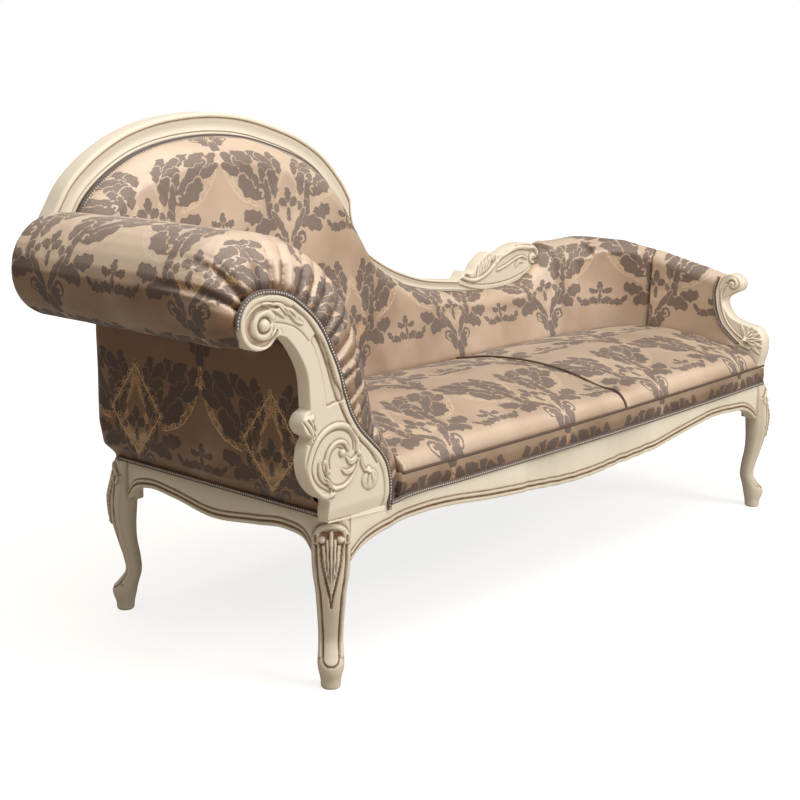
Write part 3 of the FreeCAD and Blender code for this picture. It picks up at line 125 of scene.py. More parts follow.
def nearest(points, path):
    """Distance from each point to a path, and how far along the path the nearest place is."""
    best = np.full(len(points), 1e9)
    along = np.zeros(len(points))
    run = 0.0
    for a, b in zip(path[:-1], path[1:]):
        step = b - a
        size = max(float(np.linalg.norm(step)), 1e-9)
        t = np.clip((points - a) @ step / size ** 2, 0, 1)
        far = np.linalg.norm(points - a - t[:, None] * step, axis=1)
        closer = far < best
        best = np.where(closer, far, best)
        along = np.where(closer, run + t * size, along)
        run += size
    return best, along


def inside(points, loop):
    """Whether each point lies inside a closed outline."""
    found = np.zeros(len(points), bool)
    for a, b in zip(loop, np.roll(loop, -1, axis=0)):
        cross = (a[1] > points[:, 1]) != (b[1] > points[:, 1])
        rise = b[1] - a[1] if abs(b[1] - a[1]) > 1e-9 else 1e-9
        found ^= cross & (points[:, 0] < (b[0] - a[0]) * (points[:, 1] - a[1]) / rise + a[0])
    return found


def ridge(points, path, start_width, end_width, height):
    """Height of a rounded raised line that tapers from one half-width to another."""
    line = smooth_line(path, 2.0)
    far, along = nearest(points, line)
    width = start_width + (end_width - start_width) * along / max(length_of(line), 1e-6)
    return height * np.sqrt(np.clip(1 - (far / np.maximum(width, 0.2)) ** 2, 0, 1))


def groove(points, path, half_width, depth):
    """Depth of a rounded cut line."""
    far, _ = nearest(points, smooth_line(path, 2.0))
    return -depth * np.clip(1 - (far / half_width) ** 2, 0, 1)


def petal_leaf(points, path, width, height):
    """Height of a pointed leaf along a path, with a sunk rib down its middle."""
    line = smooth_line(path, 2.0)
    far, along = nearest(points, line)
    share = np.clip(along / max(length_of(line), 1e-6), 0, 1)
    half = np.maximum(width * np.sin(math.pi * np.clip(share * 0.92 + 0.04, 0, 1)) ** 0.7, 0.2)
    rise = np.sqrt(np.clip(1 - (far / half) ** 2, 0, 1))
    return height * rise * (1 - 0.45 * np.exp(-(far / 1.1) ** 2))


def dome(points, centre, radius, height):
    """Height of a rounded knob."""
    far = np.linalg.norm(points - np.array(centre), axis=1)
    return height * np.sqrt(np.clip(1 - (far / radius) ** 2, 0, 1))


def spiral(centre, start_radius, end_radius, start_degrees, turn_degrees, count=40):
    """Points of a scroll that winds in from one radius to another."""
    t = np.linspace(0, 1, count)
    angle = np.radians(start_degrees + turn_degrees * t)
    radius = start_radius * (end_radius / start_radius) ** t
    return np.stack([centre[0] + radius * np.cos(angle), centre[1] + radius * np.sin(angle)], 1)


# Meshes and objects

def add_piece(name, points, faces, material, replaced=(), uv=None, glaze=None, sharp=None):
    """A mesh piece that rides on the body, in place and with its finish."""
    mesh = bpy.data.meshes.new(name)
    mesh.from_pydata((np.asarray(points, float) * MM).tolist(), [], [tuple(int(k) for k in f) for f in faces])
    mesh.validate()
    if uv is not None:
        set_uv(mesh, uv)
    if glaze is not None:
        set_value(mesh, "glaze", glaze)
    work = bmesh.new()
    work.from_mesh(mesh)
    bmesh.ops.recalc_face_normals(work, faces=work.faces)
    work.to_mesh(mesh)
    work.free()
    obj = bpy.data.objects.new(name, mesh)
    bpy.context.scene.collection.objects.link(obj)
    return dress(obj, material, replaced, sharp)


def dress(obj, material, replaced=(), sharp=None):
    """Finish, slot, shading and body for one piece."""
    obj.data.materials.clear()
    obj.data.materials.append(material)
    obj.data.polygons.foreach_set("use_smooth", [True] * len(obj.data.polygons))
    if sharp:
        pick(obj)
        bpy.ops.object.shade_smooth_by_angle(angle=math.radians(sharp))
    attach(obj, "root")
    if replaced:
        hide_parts(*replaced)
    return obj


def pick(obj):
    """Make the object the only one that is selected, and the active one."""
    bpy.ops.object.select_all(action="DESELECT")
    obj.select_set(True)
    bpy.context.view_layer.objects.active = obj


def set_uv(mesh, uv):
    """Places on the cloth, in metres, from one pair of values for each vertex."""
    layer = mesh.uv_layers.get("Cloth") or mesh.uv_layers.new(name="Cloth")
    corner = np.empty(len(mesh.loops), np.int32)
    mesh.loops.foreach_get("vertex_index", corner)
    layer.data.foreach_set("uv", np.asarray(uv, np.float32)[corner].ravel())


def set_value(mesh, label, values):
    layer = mesh.attributes.get(label) or mesh.attributes.new(label, "FLOAT", "POINT")
    layer.data.foreach_set("value", np.asarray(values, np.float32))


def set_painted_light(obj, front, side=0.03, more=0.0):
    """Painted light and shade on the satin: how pale it looks on each vertex, from the way that its face turns, with
    front and side for faces turned to the front and to the head end, and more added.
    """
    n = normals_of(obj.data)
    plus, minus = np.clip(n, 0, 1) ** 2, np.clip(-n, 0, 1) ** 2
    values = plus @ (0.12, 0.1, 0.0) + minus @ (side, front, 0.0) + np.clip(1.4 * n[:, 2], 0, 1) + more
    values = np.clip(values, 0, 1)
    set_value(obj.data, "facing", values)


def vertices_of(mesh):
    co = np.empty(len(mesh.vertices) * 3)
    mesh.vertices.foreach_get("co", co)
    return co.reshape(-1, 3) / MM


def normals_of(mesh):
    found = np.empty(len(mesh.vertices) * 3)
    mesh.vertices.foreach_get("normal", found)
    return found.reshape(-1, 3)


def move_vertices(mesh, points):
    mesh.vertices.foreach_set("co", (np.asarray(points, float) * MM).ravel())
    mesh.update()


def skin(rings):
    """Points and faces of a closed body over rings of equal count."""
    rings = np.asarray(rings, float)
    n, m = rings.shape[:2]
    faces = []
    for i in range(n - 1):
        for j in range(m):
            k = (j + 1) % m
            faces.append((i * m + j, i * m + k, (i + 1) * m + k, (i + 1) * m + j))
    faces.append(tuple(range(m - 1, -1, -1)))
    faces.append(tuple(range((n - 1) * m, n * m)))
    return rings.reshape(-1, 3), faces


def moulded(name, rings, glaze, node, sharp):
    """A moulded length of painted wood over rings, in place of a structural node."""
    points, faces = skin(rings)
    add_piece(name, points, faces, FINISH["carved"], (node,), glaze=glaze, sharp=sharp)


def settled(values, faces, rounds):
    """The values evened out over the neighbours a number of times."""
    pairs = set()
    for f in faces:
        if len(f) > 8:
            continue
        for a, b in zip(f, f[1:] + f[:1]):
            pairs.add((a, b) if a < b else (b, a))
    edge = np.array(sorted(pairs), int)
    count = np.maximum(np.bincount(edge.ravel(), minlength=len(values)), 1)
    out = np.array(values, float)
    for _ in range(rounds):
        total = (np.bincount(edge[:, 0], out[edge[:, 1]], minlength=len(values))
                 + np.bincount(edge[:, 1], out[edge[:, 0]], minlength=len(values)))
        out = 0.4 * out + 0.6 * total / count
    return out


def hollow_glaze(rise, faces, *passes):
    """How much glaze stays on each vertex, from how far it lies under what is round it.

    Each pass gives the rounds of evening out, the gain and what is taken off."""
    return np.maximum(*(np.clip((settled(rise, faces, rounds) - rise) * gain - less, 0, 1)
                        for rounds, gain, less in passes))


def relief(name, node, outline, step, height, place, depth, aged, both=False):
    """A carved board: a closed outline filled with fine triangles, its face raised by a height function.

    place(u, v, w) gives the position of a point that stands w in front of the board's face, aged scales the
    glaze, and both carves the back as well."""
    loop = even_line(np.vstack([outline, outline[:1]]), step=step)[:-1]
    low, high = loop.min(0), loop.max(0)
    rows = np.arange(low[1], high[1], step * 0.87)
    grid = []
    for index, v in enumerate(rows):
        u = np.arange(low[0] + (index % 2) * step / 2, high[0], step)
        grid.append(np.stack([u, np.full(len(u), v)], 1))
    grid = np.vstack(grid)
    grid = grid[inside(grid, loop)]
    far, _ = nearest(grid, np.vstack([loop, loop[:1]]))
    grid = grid[far > step * 0.6]
    flat = np.vstack([loop, grid])
    count = len(loop)
    found = geometry.delaunay_2d_cdt([Vector(p) for p in flat], [(i, (i + 1) % count) for i in range(count)],
                                     [], 1, 1e-5)
    flat = np.array([(v.x, v.y) for v in found[0]])
    faces = [tuple(f) for f in found[2]]
    first = {}
    for new, old in enumerate(found[3]):
        for k in old:
            first[k] = new
    rim = [first[k] for k in range(count)]
    far, _ = nearest(flat, np.vstack([loop, loop[:1]]))
    rise = settled(height(flat), faces, 1)
    fall = EDGE_ROUND * (1 - np.sqrt(np.clip(1 - np.clip(1 - far / EDGE_ROUND, 0, 1) ** 2, 0, 1)))
    rise = rise * np.clip(far / 2.0, 0, 1) - fall
    dark = hollow_glaze(rise, faces, (10, 1.6, 0.0), (30, 0.55, 0.1))
    dark = np.where(far < 2.5, 0, dark) * aged
    size = len(flat)
    front = place(flat[:, 0], flat[:, 1], rise)
    if both:
        back = place(flat[:, 0], flat[:, 1], -depth - rise)
        points = np.vstack([front, back])
        shade = np.concatenate([dark, dark])
        faces = faces + [tuple(k + size for k in f[::-1]) for f in faces]
        other = [k + size for k in rim]
    else:
        edge = flat[rim]
        back = place(edge[:, 0], edge[:, 1], np.full(count, -depth))
        points = np.vstack([front, back])
        shade = np.concatenate([dark, np.zeros(count)])
        other = list(range(size, size + count))
        faces = faces + [tuple(other)]
    for i in range(count):
        k = (i + 1) % count
        faces.append((rim[i], rim[k], other[k], other[i]))
    add_piece(name, points, faces, FINISH["carved"], (node,), glaze=shade, sharp=50)


def soft_copy(name, nodes, voxel, rounds):
    """A closed, evenly meshed and softened copy of one or more structural nodes that touch."""
    work = bmesh.new()
    for node in nodes:
        work.from_mesh(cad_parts[node].data)
    mesh = bpy.data.meshes.new(name)
    work.to_mesh(mesh)
    work.free()
    copy = bpy.data.objects.new(name, mesh)
    bpy.context.scene.collection.objects.link(copy)
    weld = copy.modifiers.new("Weld", "WELD")
    weld.merge_threshold = 0.0002
    remesh = copy.modifiers.new("Remesh", "REMESH")
    remesh.mode = "VOXEL"
    remesh.voxel_size = voxel * MM
    soften = copy.modifiers.new("Soften", "SMOOTH")
    soften.factor = 0.5
    soften.iterations = rounds
    bpy.context.view_layer.update()
    evaluated = copy.evaluated_get(bpy.context.evaluated_depsgraph_get())
    baked = bpy.data.meshes.new_from_object(evaluated)
    copy.modifiers.clear()
    copy.data = baked
    copy.data.name = name
    return copy


def waver(points, size, depth, seed):
    """Slow unevenness of stuffed cloth, in millimetres."""
    shift = Vector((seed * 13.1, seed * 7.7, seed * 3.3))
    return np.array([noise.noise(Vector(p) / size + shift) for p in points]) * depth


def stations(node, gap, axis=0):
    """Groups of a node's vertices at the same place along an axis."""
    points = vertices_of(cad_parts[node].data)
    points = points[np.argsort(points[:, axis])]
    cuts = np.where(np.diff(points[:, axis]) > gap)[0] + 1
    return np.split(points, cuts)


def piping_line():
    """The middle line of the structural piping, one point for each place along X."""
    return np.array([g.mean(0) for g in stations("seat_piping", 5.0)])


# Profile across a braid: share of its width and of its height
BRAID_PROFILE = [(-0.5, 0.0), (-0.5, 0.5), (-0.36, 0.95), (-0.2, 0.8), (0.0, 1.0), (0.2, 0.8), (0.36, 0.95),
                 (0.5, 0.5), (0.5, 0.0)]


def braid(name, node, path, facing, width, height, sunk=0.0, aside=0.0):
    """A flat braid along a path that faces one fixed way; it can be sunk into its ground and moved aside."""
    along = directions(path)
    out = np.tile(np.array(facing, float), (len(path), 1))
    out -= along * np.sum(out * along, axis=1)[:, None]
    out /= np.linalg.norm(out, axis=1)[:, None]
    across = np.cross(out, along)
    path = path - out * sunk - across * aside
    rings = np.stack([path + across * (width * s) + out * (height * h) for s, h in BRAID_PROFILE], 1)
    points, faces = skin(rings)
    uv = np.stack([np.repeat(run_along(path) * MM, len(BRAID_PROFILE)),
                   np.tile([s for s, _ in BRAID_PROFILE], len(path))], 1)
    add_piece(name, points, faces, FINISH["braid"], (node,), uv=uv, sharp=60)


def cord(name, node, path, radius):
    """A round cord along a path."""
    sides = 10
    along = directions(path)
    side = np.cross(along, np.array([0.0, 0.0, 1.0]))
    side /= np.linalg.norm(side, axis=1)[:, None]
    up = np.cross(side, along)
    rings = []
    for i in range(sides):
        angle = 2 * math.pi * i / sides
        rings.append(path + (side * math.cos(angle) + up * math.sin(angle)) * radius)
    points, faces = skin(np.stack(rings, 1))
    uv = np.stack([np.repeat(run_along(path) * MM, sides), np.tile(np.arange(sides) / sides * 0.02, len(path))], 1)
    add_piece(name, points, faces, FINISH["cord"], (node,), uv=uv)


# Shared surface effects

class Wires:
    """Short calls that add joined nodes to one tree."""

    def __init__(self, tree):
        self.tree = tree

    def add(self, kind, **settings):
        node = self.tree.nodes.new(kind)
        for key, value in settings.items():
            setattr(node, key, value)
        return node

    def join(self, value, socket):
        if isinstance(value, bpy.types.NodeSocket):
            self.tree.links.new(value, socket)
        else:
            socket.default_value = value

    def math(self, operation, a, b=None, c=None, clamp=False):
        node = self.add("ShaderNodeMath", operation=operation, use_clamp=clamp)
        for index, value in enumerate((a, b, c)):
            if value is not None:
                self.join(value, node.inputs[index])
        return node.outputs[0]

    def step(self, value, low, high):
        node = self.add("ShaderNodeMapRange", interpolation_type="SMOOTHSTEP")
        self.join(value, node.inputs["Value"])
        node.inputs["From Min"].default_value = low
        node.inputs["From Max"].default_value = high
        return node.outputs[0]

    def mix(self, factor, a, b):
        node = self.add("ShaderNodeMix", data_type="RGBA")
        self.join(factor, node.inputs["Factor"])
        self.join(a, node.inputs["A"])
        self.join(b, node.inputs["B"])
        return node.outputs["Result"]

    def noise(self, vector, scale, detail=2.0, rough=0.5):
        node = self.add("ShaderNodeTexNoise")
        self.join(vector, node.inputs["Vector"])
        node.inputs["Scale"].default_value = scale
        node.inputs["Detail"].default_value = detail
        node.inputs["Roughness"].default_value = rough
        return node

    def bump(self, height, distance, strength=1.0):
        node = self.add("ShaderNodeBump")
        node.inputs["Strength"].default_value = strength
        node.inputs["Distance"].default_value = distance
        self.join(height, node.inputs["Height"])
        return node.outputs[0]

    def group(self, tree, **values):
        node = self.add("ShaderNodeGroup")
        node.node_tree = tree
        for key, value in values.items():
            self.join(value, node.inputs[key])
        return node


def new_group(name, inputs, outputs):
    """An empty node group with its sockets: the tree, its calls and its two end nodes."""
    tree = bpy.data.node_groups.new(name, "ShaderNodeTree")
    for label, kind in inputs:
        tree.interface.new_socket(label, in_out="INPUT", socket_type=kind)
    for label, kind in outputs:
        tree.interface.new_socket(label, in_out="OUTPUT", socket_type=kind)
    return tree, Wires(tree), tree.nodes.new("NodeGroupInput"), tree.nodes.new("NodeGroupOutput")


def petal_group():
    """One lobed petal laid over what is under it, with a thin gap round it. P and Q are its own axes."""
    tree, w, gin, gout = new_group("Petal", [(label, "NodeSocketFloat") for label in (
        "X", "Y", "P of X", "P of Y", "P shift", "Q of X", "Q of Y", "Q shift", "Bend", "Egg", "Under")],
        [("Edge", "NodeSocketFloat"), ("Mask", "NodeSocketFloat")])
    get = gin.outputs
    p = w.math("MULTIPLY_ADD", get["X"], get["P of X"], w.math("MULTIPLY_ADD", get["Y"], get["P of Y"], get["P shift"]))
    q = w.math("MULTIPLY_ADD", get["X"], get["Q of X"], w.math("MULTIPLY_ADD", get["Y"], get["Q of Y"], get["Q shift"]))
    square = w.math("MULTIPLY", p, p)
    bent = w.math("MULTIPLY_ADD", square, get["Bend"], q)
    lobes = w.math("MULTIPLY_ADD", w.math("SINE", w.math("MULTIPLY_ADD", p, 8.5, 0.6)), 0.17, 1.0)
    swell = w.math("MAXIMUM", w.math("MULTIPLY_ADD", p, get["Egg"], lobes), 0.15)
    thin = w.math("DIVIDE", bent, swell)
    edge = w.math("MULTIPLY_ADD", thin, thin, square)
    clear = w.math("MINIMUM", get["Under"], w.step(edge, 1.1, 1.3))
    w.join(edge, gout.inputs["Edge"])
    w.join(w.math("MAXIMUM", clear, w.step(edge, 1.06, 0.94)), gout.inputs["Mask"])
    return tree


PETAL_LONGER, PETAL_WIDER = 1.16, 1.08  # every petal is drawn so much larger than its row says


def petal(w, tree, x, y, row, under=0.0):
    """A petal from one row of a table: place, half length, half width, direction, bend and taper."""
    px, py, long, half, turn, bend, egg = row
    long, half = long * PETAL_LONGER, half * PETAL_WIDER
    c, s = math.cos(math.radians(turn)), math.sin(math.radians(turn))
    values = {"X": x, "Y": y, "P of X": c / long, "P of Y": s / long, "P shift": -(px * c + py * s) / long,
              "Q of X": -s / half, "Q of Y": c / half, "Q shift": (px * s - py * c) / half, "Bend": bend, "Egg": egg,
              "Under": under}
    return w.group(tree, **values).outputs


def curl_group():
    """A thick scroll line that winds into its centre; one inside the line."""
    tree, w, gin, gout = new_group("Curl", [(label, "NodeSocketFloat") for label in (
        "X", "Y", "Centre X", "Centre Y", "Radius", "Pitch", "Hand", "Line")], [("Mask", "NodeSocketFloat")])
    get = gin.outputs
    x = w.math("MULTIPLY", w.math("SUBTRACT", get["X"], get["Centre X"]), get["Hand"])
    y = w.math("SUBTRACT", get["Y"], get["Centre Y"])
    far = w.math("SQRT", w.math("MULTIPLY_ADD", x, x, w.math("MULTIPLY", y, y)))
    turn = w.math("DIVIDE", w.math("ARCTAN2", y, x), 2 * math.pi)
    phase = w.math("SUBTRACT", w.math("DIVIDE", far, get["Pitch"]), turn)
    band = w.math("ABSOLUTE", w.math("SUBTRACT", w.math("FRACT", phase), 0.5))
    near = w.math("LESS_THAN", far, get["Radius"])
    w.join(w.math("MULTIPLY", near, w.math("LESS_THAN", band, get["Line"])), gout.inputs["Mask"])
    return tree


# Petals of the large palmette, on the half to the right of its middle line, in millimetres from its heart, from
# the back to the front: place across and up, half length, half width, direction of the tip, bend and taper
PALMETTE = [(157, 78, 38, 12, 31, 0.15, 0.35), (170, 114, 27, 14, 46, -0.2, 0.1), (120, 78, 48, 13, 46, 0.12, 0.3),
            (133, 121, 32, 16, 40, -0.15, 0.15), (98, 128, 26, 11, 62, 0.1, 0.3), (116, 34, 36, 16, 38, -0.3, 0.35),
            (66, 108, 30, 13, 46, 0.0, 0.3), (62, 84, 24, 12, 24, 0.1, 0.3), (42, 118, 24, 11, 70, 0.0, 0.3),
            (28, 92, 24, 11, 78, 0.1, 0.2), (74, 58, 22, 9, 66, -0.3, 0.2), (43, 46, 28, 14, 80, 0.2, 0.3),
            (62, 12, 40, 8, 88, 0.35, 0.0), (108, -26, 26, 15, 8, -0.2, 0.2), (70, -48, 34, 16, -14, 0.3, 0.15),
            (58, -14, 17, 9, 100, 0.0, 0.0), (38, -12, 12, 7, 118, 0.0, 0.2), (26, -52, 38, 8, 58, 0.25, 0.0),
            (20, -100, 20, 12, 82, 0.1, 0.1), (3, -122, 22, 9, 92, 0.0, 0.0), (0, 18, 15, 9, 90, 0.0, 0.1),
            (15, 1, 12, 9, 28, 0.2, 0.3), (0, -26, 14, 6, 90, 0.0, -0.1)]
# Petals of the small flower that stands between two palmettes, in the same way from its own middle
FLOWER = [(0, 14, 12, 8, 90, 0.0, 0.1), (18, 2, 13, 7, 8, -0.5, 0.3), (0, -14, 18, 4, 90, 0.0, 0.0),
          (18, -24, 14, 9, 12, 0.3, 0.1), (44, -28, 16, 9, 4, 0.3, 0.1), (66, -18, 11, 6, 44, 0.0, 0.0)]
FLOWER_DROP = 38.0
# Scrolls of the palmette: centre across and up, radius, pitch, hand and share of the pitch that the line fills
CURL_KEYS = ("Centre X", "Centre Y", "Radius", "Pitch", "Hand", "Line")
SCROLLS = [(84, 30, 19.0, 16.0, 1.0, 0.3), (36, -80, 16.0, 14.0, -1.0, 0.3)]
SMALL_CURL = (0.0, 0.0, 0.0074, 0.0058, 1.0, 0.2)


def damask_group(settings):
    """The woven pattern: dark leaves, light lace and thin gold scrolls on a half-drop repeat."""
    tree, w, gin, gout = new_group("Damask", [("Vector", "NodeSocketVector")],
                                   [(label, "NodeSocketFloat") for label in (
                                       "Leaf", "Lace", "Gold", "Streak", "Diamond")])
    petals, curl = petal_group(), curl_group()
    wide, tall = settings.repeat_width, settings.repeat_height / 2
    ragged = w.noise(gin.outputs["Vector"], 62.0, 4.0, 0.7)
    shake = w.add("ShaderNodeVectorMath", operation="MULTIPLY_ADD")
    w.join(ragged.outputs["Color"], shake.inputs[0])
    shake.inputs[1].default_value = (0.014, 0.014, 0.0)
    w.join(gin.outputs["Vector"], shake.inputs[2])
    split = w.add("ShaderNodeSeparateXYZ")
    w.join(shake.outputs[0], split.inputs[0])
    band = w.math("FLOOR", w.math("ADD", w.math("DIVIDE", split.outputs[1], tall), 0.5))
    odd = w.math("MODULO", w.math("ABSOLUTE", band), 2.0)
    across = w.math("MULTIPLY_ADD", odd, 0.5, w.math("DIVIDE", split.outputs[0], wide))
    across = w.math("SUBTRACT", w.math("FRACT", w.math("ADD", across, 0.5)), 0.5)
    x = w.math("MULTIPLY", w.math("ABSOLUTE", across), wide / MM)
    y = w.math("MULTIPLY", w.math("SUBTRACT", split.outputs[1], w.math("MULTIPLY", band, tall)), 1 / MM)
    here = (x, y)
    other = (w.math("SUBTRACT", wide / MM / 2, x), w.math("ADD", y, FLOWER_DROP))
    leaf = 0.0
    for rows, spot in ((PALMETTE, here), (FLOWER, other)):
        for row in rows:
            leaf = petal(w, petals, *spot, row, leaf)["Mask"]
    for row in SCROLLS:
        leaf = w.math("MAXIMUM", leaf, w.group(curl, X=x, Y=y, **dict(zip(CURL_KEYS, row))).outputs[0])
    cells = w.add("ShaderNodeTexVoronoi", voronoi_dimensions="2D")
    w.join(gin.outputs["Vector"], cells.inputs["Vector"])
    cells.inputs["Scale"].default_value = 62.0
    cells.inputs["Randomness"].default_value = 0.6
    apart = w.add("ShaderNodeVectorMath", operation="SUBTRACT")
    w.join(gin.outputs["Vector"], apart.inputs[0])
    w.join(cells.outputs["Position"], apart.inputs[1])
    near = w.add("ShaderNodeSeparateXYZ")
    w.join(apart.outputs[0], near.inputs[0])
    tiny = w.group(curl, X=near.outputs[0], Y=near.outputs[1], **dict(zip(CURL_KEYS, SMALL_CURL))).outputs[0]
    drop = petal(w, petals, *here, (0, 26, 62, 34, 90, 0.0, -0.55))["Edge"]
    ring = w.math("ABSOLUTE", w.math("SUBTRACT", drop, 0.85))
    crumbs = w.noise(gin.outputs["Vector"], 420.0, 2.0, 0.7)
    crumb = w.step(crumbs.outputs["Fac"], 0.47, 0.58)
    lace = w.math("MULTIPLY", w.step(ring, 0.5, 0.25), w.math("MAXIMUM", tiny, crumb))
    fall = w.math("POWER", 0.9753, other[0])
    slope = w.math("MULTIPLY", fall, 2.925)
    tilt = w.math("SQRT", w.math("MULTIPLY_ADD", slope, slope, 1.0))
    above = w.math("SUBTRACT", y, w.math("MULTIPLY_ADD", fall, 117.0, -10.0))
    off = w.math("DIVIDE", above, tilt)
    lines = w.math("MAXIMUM", w.step(w.math("ABSOLUTE", off), 1.7, 0.8),
                   w.step(w.math("ABSOLUTE", w.math("SUBTRACT", off, 15.0)), 1.5, 0.7))
    curls = w.math("MULTIPLY", w.step(w.math("ABSOLUTE", w.math("SUBTRACT", off, 7.5)), 7.5, 6.5), tiny)
    gold = w.math("MULTIPLY", w.math("MAXIMUM", lines, curls), w.step(other[0], 122.0, 112.0))
    gold = w.math("MULTIPLY", gold, w.math("SUBTRACT", 1.0, leaf))
    side = w.math("MULTIPLY", w.math("ABSOLUTE", w.math("SUBTRACT", y, 24.0)), 0.62)
    apart = w.math("ABSOLUTE", w.math("MULTIPLY_ADD", x, 0.785, w.math("SUBTRACT", side, 60.0)))
    diamond = w.math("MAXIMUM", w.math("MULTIPLY", w.step(apart, 10.0, 8.5), tiny), w.step(apart, 2.4, 1.2))
    w.join(diamond, gout.inputs["Diamond"])
    stretched = w.add("ShaderNodeMapping")
    w.join(gin.outputs["Vector"], stretched.inputs["Vector"])
    stretched.inputs["Scale"].default_value = (1.0, 4.5, 1.0)
    streaks = w.noise(stretched.outputs[0], 260.0, 3.0, 0.65)
    w.join(leaf, gout.inputs["Leaf"])
    w.join(lace, gout.inputs["Lace"])
    w.join(gold, gout.inputs["Gold"])
    w.join(w.step(streaks.outputs["Fac"], 0.46, 0.62), gout.inputs["Streak"])
    return tree


def mottle_group():
    """Soft mottling of a painted surface, as a value round a half."""
    tree, w, gin, gout = new_group("Mottle", [("Vector", "NodeSocketVector"), ("Scale", "NodeSocketFloat")],
                                   [("Value", "NodeSocketFloat")])
    cloud = w.add("ShaderNodeTexNoise")
    w.join(gin.outputs["Vector"], cloud.inputs["Vector"])
    w.join(gin.outputs["Scale"], cloud.inputs["Scale"])
    cloud.inputs["Detail"].default_value = 4.0
    w.join(cloud.outputs["Fac"], gout.inputs["Value"])
    return tree


def tinted(colour, gain=1.0):
    """The colour made lighter or darker, as the four values that a colour socket takes."""
    return tuple(min(1.0, c * gain) for c in colour[:3]) + (1.0,)


def new_material(name):
    material = bpy.data.materials.new(name)
    material.use_nodes = True
    shader = material.node_tree.nodes["Principled BSDF"]
    return material, Wires(material.node_tree), shader


def cloth_material(name, settings, damask, edged=False):
    """Satin jacquard with painted light and shade. Each vertex holds how far its cloth faces the light: painted shade,
    deep and golden, at 0, and painted light, pale, at 1.
    """
    material, w, shader = new_material(name)
    uv = w.add("ShaderNodeUVMap", uv_map="Cloth").outputs[0]
    pattern = w.group(damask, Vector=uv)
    leaf = pattern.outputs["Leaf"]
    facing = w.add("ShaderNodeAttribute", attribute_name="facing").outputs["Fac"]
    # Painted light and shade: a slow noise makes the facing uneven, and the facing mixes the lit and shaded copies of
    # the ground, leaf and thread.
    shade = w.noise(uv, 7.0, 2.0, 0.5).outputs["Fac"]
    facing = w.math("MULTIPLY_ADD", w.math("SUBTRACT", shade, 0.52), 0.7, facing, clamp=True)
    ground = w.mix(facing, tuple(settings.shaded_ground), tuple(settings.ground))
    dark = w.mix(facing, tuple(settings.shaded_leaf), tuple(settings.leaf))
    light = w.mix(facing, tuple(settings.shaded_thread), tuple(settings.thread))
    dark = w.mix(w.math("MULTIPLY", pattern.outputs["Streak"], 0.38), dark, ground)
    colour = w.mix(leaf, ground, dark)
    colour = w.mix(w.math("MULTIPLY", pattern.outputs["Lace"], w.math("SUBTRACT", 0.85, w.math("MULTIPLY", leaf, 0.7))),
                   colour, light)
    colour = w.mix(w.math("MULTIPLY", pattern.outputs["Gold"], 0.95), colour, light)
    if edged:
        colour = w.mix(w.math("MULTIPLY", pattern.outputs["Diamond"], 0.8), colour, light)
    w.join(colour, shader.inputs["Base Color"])
    w.join(w.math("MULTIPLY_ADD", leaf, 0.25, 0.36), shader.inputs["Roughness"])
    shader.inputs["Specular IOR Level"].default_value = 0.7
    shader.inputs["Sheen Weight"].default_value = 0.15
    shader.inputs["Sheen Roughness"].default_value = 0.4
    weave = w.noise(uv, 900.0, 1.0, 0.5).outputs["Fac"]
    height = w.math("ADD", w.math("MULTIPLY", leaf, 0.6), w.math("MULTIPLY", weave, 0.4))
    w.join(w.bump(height, 0.0008, 0.4), shader.inputs["Normal"])
    return material


def painted_material(name, settings, mottle, aged):
    """Ivory paint with a brown glaze left in the hollows of the carving; on the legs the same glaze colour also lies
    over the whole leg as painted shade.
    """
    material, w, shader = new_material(name)
    place = w.add("ShaderNodeTexCoord").outputs["Object"]
    cloud = w.group(mottle, Vector=place, Scale=9.0).outputs[0]
    paint = w.mix(cloud, tinted(settings.paint, 0.95), tinted(settings.paint, 1.03))
    if aged:
        mark = w.add("ShaderNodeAttribute", attribute_name="glaze").outputs["Fac"]
        broken = w.group(mottle, Vector=place, Scale=60.0).outputs[0]
        amount = w.math("MULTIPLY", mark, w.math("MULTIPLY_ADD", broken, 0.6, 0.65), clamp=True)
        paint = w.mix(amount, paint, tinted(settings.glaze))
    w.join(paint, shader.inputs["Base Color"])
    shader.inputs["Roughness"].default_value = 0.42
    shader.inputs["Specular IOR Level"].default_value = 0.4
    return material


def plain_material(name, colour, rough, metal=0.0, scale=40.0, depth=0.0):
    """A plain finish with a slight mottle and, if asked for, a fine grain."""
    material, w, shader = new_material(name)
    place = w.add("ShaderNodeTexCoord").outputs["Object"]
    cloud = w.noise(place, scale, 3.0, 0.6).outputs["Fac"]
    w.join(w.mix(cloud, tinted(colour, 0.85), tinted(colour, 1.15)), shader.inputs["Base Color"])
    shader.inputs["Roughness"].default_value = rough
    shader.inputs["Metallic"].default_value = metal
    if depth:
        grain = w.noise(place, scale * 12, 2.0, 0.5).outputs["Fac"]
        w.join(w.bump(grain, depth, 0.5), shader.inputs["Normal"])
    return material


def braid_material(name, ground, dot):
    """Woven braid with a row of light dots between two dark edges."""
    material, w, shader = new_material(name)
    uv = w.add("ShaderNodeUVMap", uv_map="Cloth").outputs[0]
    split = w.add("ShaderNodeSeparateXYZ")
    w.join(uv, split.inputs[0])
    along = w.math("SUBTRACT", w.math("FRACT", w.math("DIVIDE", split.outputs[0], 0.0062)), 0.5)
    far = w.math("ADD", w.math("MULTIPLY", along, w.math("MULTIPLY", along, 2.6)),
                 w.math("MULTIPLY", split.outputs[1], w.math("MULTIPLY", split.outputs[1], 7.5)))
    spot = w.step(far, 0.34, 0.2)
    speckle = w.noise(uv, 700.0, 2.0, 0.6).outputs["Fac"]
    base = w.mix(speckle, tinted(ground, 0.6), tinted(ground, 1.5))
    w.join(w.mix(spot, base, tinted(dot)), shader.inputs["Base Color"])
    shader.inputs["Roughness"].default_value = 0.6
    w.join(w.bump(spot, 0.001), shader.inputs["Normal"])
    return material


FINISH = {}  # every material of the piece by its short name


